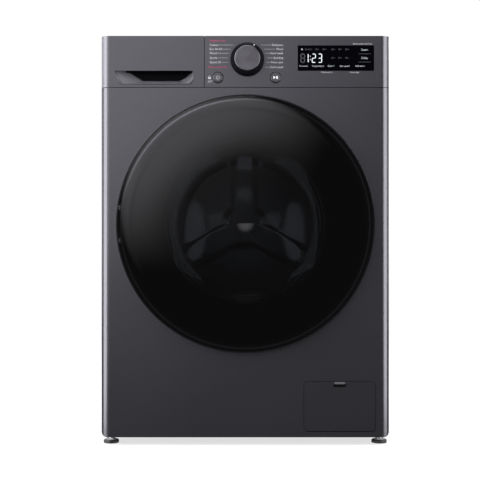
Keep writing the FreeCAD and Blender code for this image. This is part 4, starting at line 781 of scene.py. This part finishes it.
# ---- printed and lit marks ----
class Marks:
    """Flat shapes, in millimetres, a hair in front of a surface that faces the front."""

    def __init__(self, y):
        self.mesh = bmesh.new()
        self.y = y

    def polygon(self, points):
        self.mesh.faces.new([self.mesh.verts.new((x * MM, self.y, z * MM)) for x, z in points])

    def bar(self, x0, x1, z0, z1):
        self.polygon([(x0, z0), (x1, z0), (x1, z1), (x0, z1)])

    def arc(self, centre, inner, outer, start, end, steps=24):
        for i in range(steps):
            a0, a1 = (math.radians(start + (end - start) * k / steps) for k in (i, i + 1))
            self.polygon([(centre[0] + r * math.cos(a), centre[1] + r * math.sin(a))
                          for r, a in ((inner, a0), (outer, a0), (outer, a1), (inner, a1))])

    def disc(self, centre, radius, steps=20):
        self.polygon([(centre[0] + radius * math.cos(2 * math.pi * i / steps),
                       centre[1] + radius * math.sin(2 * math.pi * i / steps)) for i in range(steps)])

    def words(self, text, x, z, size, align="LEFT"):
        """Adds generic words and gives the x of their two ends."""
        curve = bpy.data.curves.new("words", "FONT")
        curve.body, curve.size, curve.align_x, curve.align_y = text, size * MM, align, "CENTER"
        curve.resolution_u = 2
        data = as_mesh(curve)
        for vertex in data.vertices:
            vertex.co = (x * MM + vertex.co.x, self.y, z * MM + vertex.co.y)
        ends = [vertex.co.x / MM for vertex in data.vertices]
        self.mesh.from_mesh(data)
        bpy.data.meshes.remove(data)
        return min(ends), max(ends)

    def ring(self, centre, inner, outer):
        self.arc(centre, inner, outer, 0, 360)

    def done(self, name, look, body, slot):
        face_front(self.mesh)
        piece(name, self.mesh, look, body, 0)


def face_front(mesh):
    """Turns every face of a flat mark towards the front."""
    for face in mesh.faces:
        face.normal_update()
        if face.normal.y > 0:
            face.normal_flip()


def fascia_marks():
    """Programme names each side of the knob, joined to it by fine lines, and the small captions."""
    pale, red = Marks(FRONT_Y - MARK_LIFT), Marks(FRONT_Y - MARK_LIFT)
    size, small, line_r, half_line = 6.2, 4.4, 40.5, 0.25
    rows = [39.0, 30.0, 21.4, 12.9, 3.2, -6.0, -16.0]
    left = ["Hygiene care", "Cotton", "Eco 40-60", "Mixed", "Sports", "Quick 30", "Drum clean 60"]
    right = ["Delicates", "Wool", "Hand wash", "Bedding", "Rinse spin", "Dark wash"]
    for i, (word, up) in enumerate(zip(left, rows)):
        ink = red if i in (0, 6) else pale
        end = ink.words(word, KNOB_X - (80 if i == 6 else 78), KNOB_Z + up, size)[1]
        if i:
            reach = math.sqrt(line_r ** 2 - up ** 2)
            ink.bar(end + 1.5, KNOB_X - reach, KNOB_Z + up - half_line, KNOB_Z + up + half_line)
    for word, up in zip(right, rows[1:]):
        start = pale.words(word, KNOB_X + 74.5, KNOB_Z + up, size, "RIGHT")[0]
        reach = math.sqrt(line_r ** 2 - up ** 2)
        pale.bar(KNOB_X + reach, start - 1.5, KNOB_Z + up - half_line, KNOB_Z + up + half_line)
    lens_left, lens_right, lens_bottom, lens_top = LENS
    pale.words("Remote start and lock", lens_right - 4, lens_top + 3.4, small, "RIGHT")
    pale.words("Child lock 3 s", lens_left + 60, lens_bottom - 3.4, small, "CENTER")
    pale.words("Drum light", lens_left + 118, lens_bottom - 3.4, small, "CENTER")
    lock_x, lock_z = strip_low.x / MM + 10, KNOB_Z - 38
    pale.ring((lock_x, lock_z + 2.4), 1.3, 1.9)
    pale.bar(lock_x - 2.6, lock_x + 2.6, lock_z - 2.4, lock_z + 1.4)
    pale.bar(lock_x - 3.5, lock_x + 6.5, lock_z - 7.2, lock_z - 6.4)
    pale.bar(lock_x - 3.5, lock_x + 3.5, lock_z - 9.4, lock_z - 8.7)
    pale.done("fascia_marks", INK, "cabinet", "white_plastic")
    red.done("fascia_marks_red", RED_INK, "cabinet", "white_plastic")


SEGMENTS = {"1": "bc", "2": "abged", "3": "abgcd", "8": "abcdefg"}


def digit(marks, figure, x, z, wide, tall, width):
    """One seven segment figure with its lower left corner at x, z."""
    middle = z + tall / 2
    rows = {"a": z + tall, "g": middle, "d": z}
    gap = width * 0.28
    for name in SEGMENTS[figure]:
        if name in rows:
            h = rows[name]
            a, b = x + gap, x + wide - gap
            marks.polygon([(a, h), (a + width / 2, h + width / 2), (b - width / 2, h + width / 2), (b, h),
                           (b - width / 2, h - width / 2), (a + width / 2, h - width / 2)])
        else:
            v = x + wide if name in "bc" else x
            low, high = (middle + gap, z + tall - gap) if name in "bf" else (z + gap, middle - gap)
            marks.polygon([(v, low), (v + width / 2, low + width / 2), (v + width / 2, high - width / 2),
                           (v, high), (v - width / 2, high - width / 2), (v - width / 2, low + width / 2)])


def display_marks():
    """The lit figures, the words and the faint icons behind the display window."""
    y = lens_low.y - MARK_LIFT
    lit, dim, faint = Marks(y), Marks(y), Marks(y)
    left, right, low, high = LENS
    base, tall, wide = low + 17.4, 17.4, 6.8
    digit(faint, "8", left + 6.5, base, 7.4, tall, 2.0)
    for figure, x in (("1", left + 14.6), ("2", left + 29.8), ("3", left + 42.8)):
        digit(lit, figure, x, base, wide, tall, 1.25)
    for up in (5.6, 12.8):
        lit.disc((left + 25.8, base + up), 0.75, 12)
    dim.disc((left + 8.6, high - 8), 1.6)
    for x in (16.5, 24, 38.5, 53, 71.5, 86, 100.5):
        faint.ring((left + x, high - 8), 1.2, 1.8)
        faint.bar(left + x + 2.6, left + x + 5.6, high - 8.4, high - 7.6)
    for x in (71.5, 86, 100.5):
        faint.ring((left + x, base + 9.4), 1.2, 1.8)
        faint.bar(left + x + 2.6, left + x + 5.2, base + 9.0, base + 9.7)
    for i, word in enumerate(("Steam", "Delay")):
        dim.words(word, right - 19.5, high - 9 - 17 * i, 6.0, "CENTER")
        faint.bar(right - 32, right - 6.5, high - 17.6 - 17 * i, high - 17.0 - 17 * i)
    for x, word in ((3.5, "Pre wash"), (29, "Temperature"), (62, "Rinse +"), (87, "Spin speed"),
                    (119, "Add items")):
        dim.words(word, left + x, low + 9.8, 4.7)
    lit.done("display_digits", LIT, "cabinet", "white_plastic")
    dim.done("display_words", HALF_LIT, "cabinet", "white_plastic")
    faint.done("display_icons", DIM_INK, "cabinet", "white_plastic")


def knob_marks():
    """The white position dot, laid on the knob's skirt."""
    a, circle_r, dot_r, steps = math.radians(63), 31.2, 1.1, 16
    tree = BVHTree.FromObject(NODES["knob_base"], bpy.context.evaluated_depsgraph_get())
    mesh = bmesh.new()
    centre = Vector((KNOB_X + circle_r * math.cos(a), 0, KNOB_Z + circle_r * math.sin(a))) * MM
    ring = []
    for i in range(steps):
        b = 2 * math.pi * i / steps
        p = centre + Vector((dot_r * math.cos(b), 0, dot_r * math.sin(b))) * MM
        hit = tree.ray_cast(Vector((p.x, knob_low.y - 0.02, p.z)), Vector((0, 1, 0)))[0]
        ring.append(mesh.verts.new(hit + Vector((0, -0.00008, 0))))
    mesh.faces.new(ring)
    face_front(mesh)
    dot = piece("knob_dot", mesh, INK_BRIGHT, "knob", 0)


def button_marks():
    """The symbols on the two push buttons, and the dark bezel round each."""
    for name, body, ink in (("power_button", "power", INK), ("start_button", "start", INK_BRIGHT)):
        low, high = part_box(name)
        x, z = (low.x + high.x) / 2 / MM, (low.z + high.z) / 2 / MM
        marks = Marks(low.y - MARK_LIFT)
        if body == "power":
            marks.arc((x, z - 0.3), 3.0, 3.7, 125, 415, 28)
            marks.bar(x - 0.35, x + 0.35, z - 0.2, z + 4.6)
        else:
            marks.polygon([(x - 4.6, z - 3), (x - 0.2, z), (x - 4.6, z + 3)])
            marks.bar(x + 1.2, x + 2.3, z - 3, z + 3)
            marks.bar(x + 3.4, x + 4.5, z - 3, z + 3)
        marks.done(f"{name}_symbol", ink, body, "white_plastic")
        r = (high.x - low.x) / 2 - 0.002
        profile = [(r + 0.0006, FRONT_Y + 0.0004), (r + 0.0006, FRONT_Y - 0.0004),
                   (r + 0.0014, FRONT_Y - 0.0007), (r + 0.0023, FRONT_Y - 0.0004),
                   (r + 0.0026, FRONT_Y + 0.0001)]
        bezel = piece(f"{name}_bezel", revolve(profile, 64, False, x * MM, z * MM), BEZEL, "cabinet", 50)


perforated_drum()
pressed_drum_back()
door_boot()
hanging_springs()
fill_bellows()
sump_boot()
door_print()
bowl_ring()
frame_screws()
seam_seal()
fascia_marks()
display_marks()
knob_marks()
button_marks()


# ---- studio ----
SKY_TOWARDS = (-0.46, -0.56, 0.69)
SKY_LEVELS = (0.54, 0.92, 0.085, 1.65)


def softbox(name, place, aim, size, power, shape="RECTANGLE"):
    """An area lamp at a place, turned towards its aim and not seen by the camera."""
    lamp = bpy.data.lights.new(name, "AREA")
    lamp.shape = shape
    lamp.size, lamp.size_y = size
    lamp.energy = power
    made = bpy.data.objects.new(name, lamp)
    made.location = place
    made.rotation_mode = "QUATERNION"
    made.rotation_quaternion = (Vector(aim) - Vector(place)).to_track_quat("-Z", "Y")
    made.visible_camera = False
    bpy.context.scene.collection.objects.link(made)
    return made


def sky():
    """White to the camera. To everything else a soft bank of light, brightest high on the front left."""
    world = bpy.data.worlds.new("studio")
    bpy.context.scene.world = world
    world.use_nodes = True
    tree = world.node_tree
    soft = tree.nodes["Background"]
    soft.inputs["Color"].default_value = (0.96, 0.965, 1.0, 1)
    white = tree.nodes.new("ShaderNodeBackground")
    white.inputs["Color"].default_value = (1, 1, 1, 1)
    white.inputs["Strength"].default_value = 1.05
    coords = tree.nodes.new("ShaderNodeTexCoord")
    towards = tree.nodes.new("ShaderNodeVectorMath")
    towards.operation = "DOT_PRODUCT"
    towards.inputs[1].default_value = Vector(SKY_TOWARDS).normalized()
    levels = tree.nodes.new("ShaderNodeMapRange")
    levels.interpolation_type = "SMOOTHSTEP"
    for socket, value in zip(("From Min", "From Max", "To Min", "To Max"), SKY_LEVELS):
        levels.inputs[socket].default_value = value
    path = tree.nodes.new("ShaderNodeLightPath")
    mix = tree.nodes.new("ShaderNodeMixShader")
    tree.links.new(coords.outputs["Generated"], towards.inputs[0])
    tree.links.new(towards.outputs["Value"], levels.inputs["Value"])
    tree.links.new(levels.outputs["Result"], soft.inputs["Strength"])
    tree.links.new(path.outputs["Is Camera Ray"], mix.inputs["Fac"])
    tree.links.new(soft.outputs["Background"], mix.inputs[1])
    tree.links.new(white.outputs["Background"], mix.inputs[2])
    tree.links.new(mix.outputs["Shader"], tree.nodes["World Output"].inputs["Surface"])


def floor():
    """A pale floor that runs out into white."""
    mesh = bmesh.new()
    bmesh.ops.create_grid(mesh, x_segments=8, y_segments=8, size=30.0)
    look = Look("floor", (0.95, 0.95, 0.95), 0.7)
    look.bump(look.noise(40, 4), 0.05, 0.0005)
    white = look.node("ShaderNodeEmission", Strength=1.0)
    ball = look.node("ShaderNodeTexGradient")
    ball.gradient_type = "SPHERICAL"
    look.link(look.place((0.42, 0.42, 0.42)), ball.inputs["Vector"])
    near = look.node("ShaderNodeMapRange", From_Min=0.0, From_Max=0.6)
    blend = look.node("ShaderNodeMixShader")
    look.link(ball.outputs["Fac"], near.inputs["Value"])
    look.link(near.outputs["Result"], blend.inputs["Fac"])
    near.inputs["To Max"].default_value = 0.3
    look.link(white.outputs["Emission"], blend.inputs[1])
    look.link(look.shader.outputs["BSDF"], blend.inputs[2])
    look.link(blend.outputs["Shader"], look.output.inputs["Surface"])
    made = piece("studio_floor", mesh, look, None, 0)
    made.location = (0, 0, CAD_BOX[0][2] - 0.0002)
    made.visible_glossy = False


def linked(name, names):
    """A collection of named pieces for a lamp's light linking."""
    group = bpy.data.collections.new(name)
    for n in names:
        group.objects.link(NODES[n] if n in NODES else bpy.data.objects[n])
    return group


def glints():
    """Small lamps that light only the bowl or the drum's back, for the soft shapes in the window."""
    bowl_only = linked("bowl_glass", ("door_bowl",))
    back_only = linked("drum_back_wall", ("pressed_drum_back",))
    in_bowl = [("side_glint", side * 0.075, -0.015, (0.05, 0.17), 0.012, "RECTANGLE") for side in (-1, 1)]
    in_bowl += [("top_glint", 0.0, -0.07, (0.1, 0.03), 0.006, "RECTANGLE")]
    on_back = [("back_glint", side * 0.068, 0.014, (0.042, 0.036), 0.0012, "RECTANGLE") for side in (-1, 1)]
    on_back += [("crown_glint", 0.0, 0.08, (0.034, 0.03), 0.0008, "RECTANGLE"),
                ("high_glint", 0.0, 0.158, (0.085, 0.034), 0.0022, "ELLIPSE")]
    on_back += [("flank_glint", side * 0.124, -0.014, (0.05, 0.15), 0.006, "ELLIPSE") for side in (-1, 1)]
    for lamps, seen_by, y, ahead in ((in_bowl, bowl_only, 0.14, -1), (on_back, back_only, 0.1, 1)):
        for name, x, up, size, power, shape in lamps:
            lamp = softbox(name, (x, y, AXIS_Z + up), (x, y + ahead, AXIS_Z + up), size, power, shape)
            lamp.light_linking.receiver_collection = seen_by


def studio():
    """The sky, the floor and the lamps. The large lamps leave the door to the sky's reflection."""
    scene = bpy.context.scene
    scene.view_settings.view_transform = "Standard"
    scene.view_settings.look = "None"
    sky()
    floor()
    door_shapes = linked("door_shapes", ("door_cover", "door_rim", "door_print", "bowl_ring", "door_bowl"))
    for member in door_shapes.collection_objects:
        member.light_linking.link_state = "EXCLUDE"
    for side, power in ((-1, 42), (1, 36)):
        strip = softbox(f"strip_{side}", (side * 1.35, -0.85, 0.75), (0, -0.75, 0.55), (1.3, 1.9), power)
        strip.light_linking.receiver_collection = door_shapes
    key = softbox("key", (-0.85, -3.4, 1.2), (0, -0.25, 0.5), (2.2, 1.8), 8.5)
    top = softbox("top", (0.0, 0.1, 2.4), (0, 0.1, 0.6), (1.8, 1.4), 30)
    back = softbox("rear_fill", (0.3, 2.6, 1.9), (0, 0.2, 0.5), (2.0, 1.4), 65)
    flanks = [softbox("flank", (side * 2.6, 1.3, 1.0), (0, 0.1, 0.45), (1.6, 1.8), 9) for side in (-1, 1)]
    for lamp in (key, top, back, *flanks):
        lamp.light_linking.receiver_collection = door_shapes
    softbox("in_drum", (0.0, bowl_high.y + 0.012, AXIS_Z), (0, 1, AXIS_Z), (0.22, 0.22), 0.006, "DISK")
    glints()


def camera():
    """Straight ahead from the front, a little left of centre."""
    lens = bpy.data.cameras.new("camera")
    lens.lens = 86.9
    lens.sensor_width = 36.0
    made = bpy.data.objects.new("camera", lens)
    made.location = (-0.011, FRONT_Y - 2.404, 0.4295)
    made.rotation_euler = (math.pi / 2, 0, 0)
    lens.clip_start, lens.clip_end = 0.05, 80
    bpy.context.scene.collection.objects.link(made)
    bpy.context.scene.camera = made


studio()
camera()
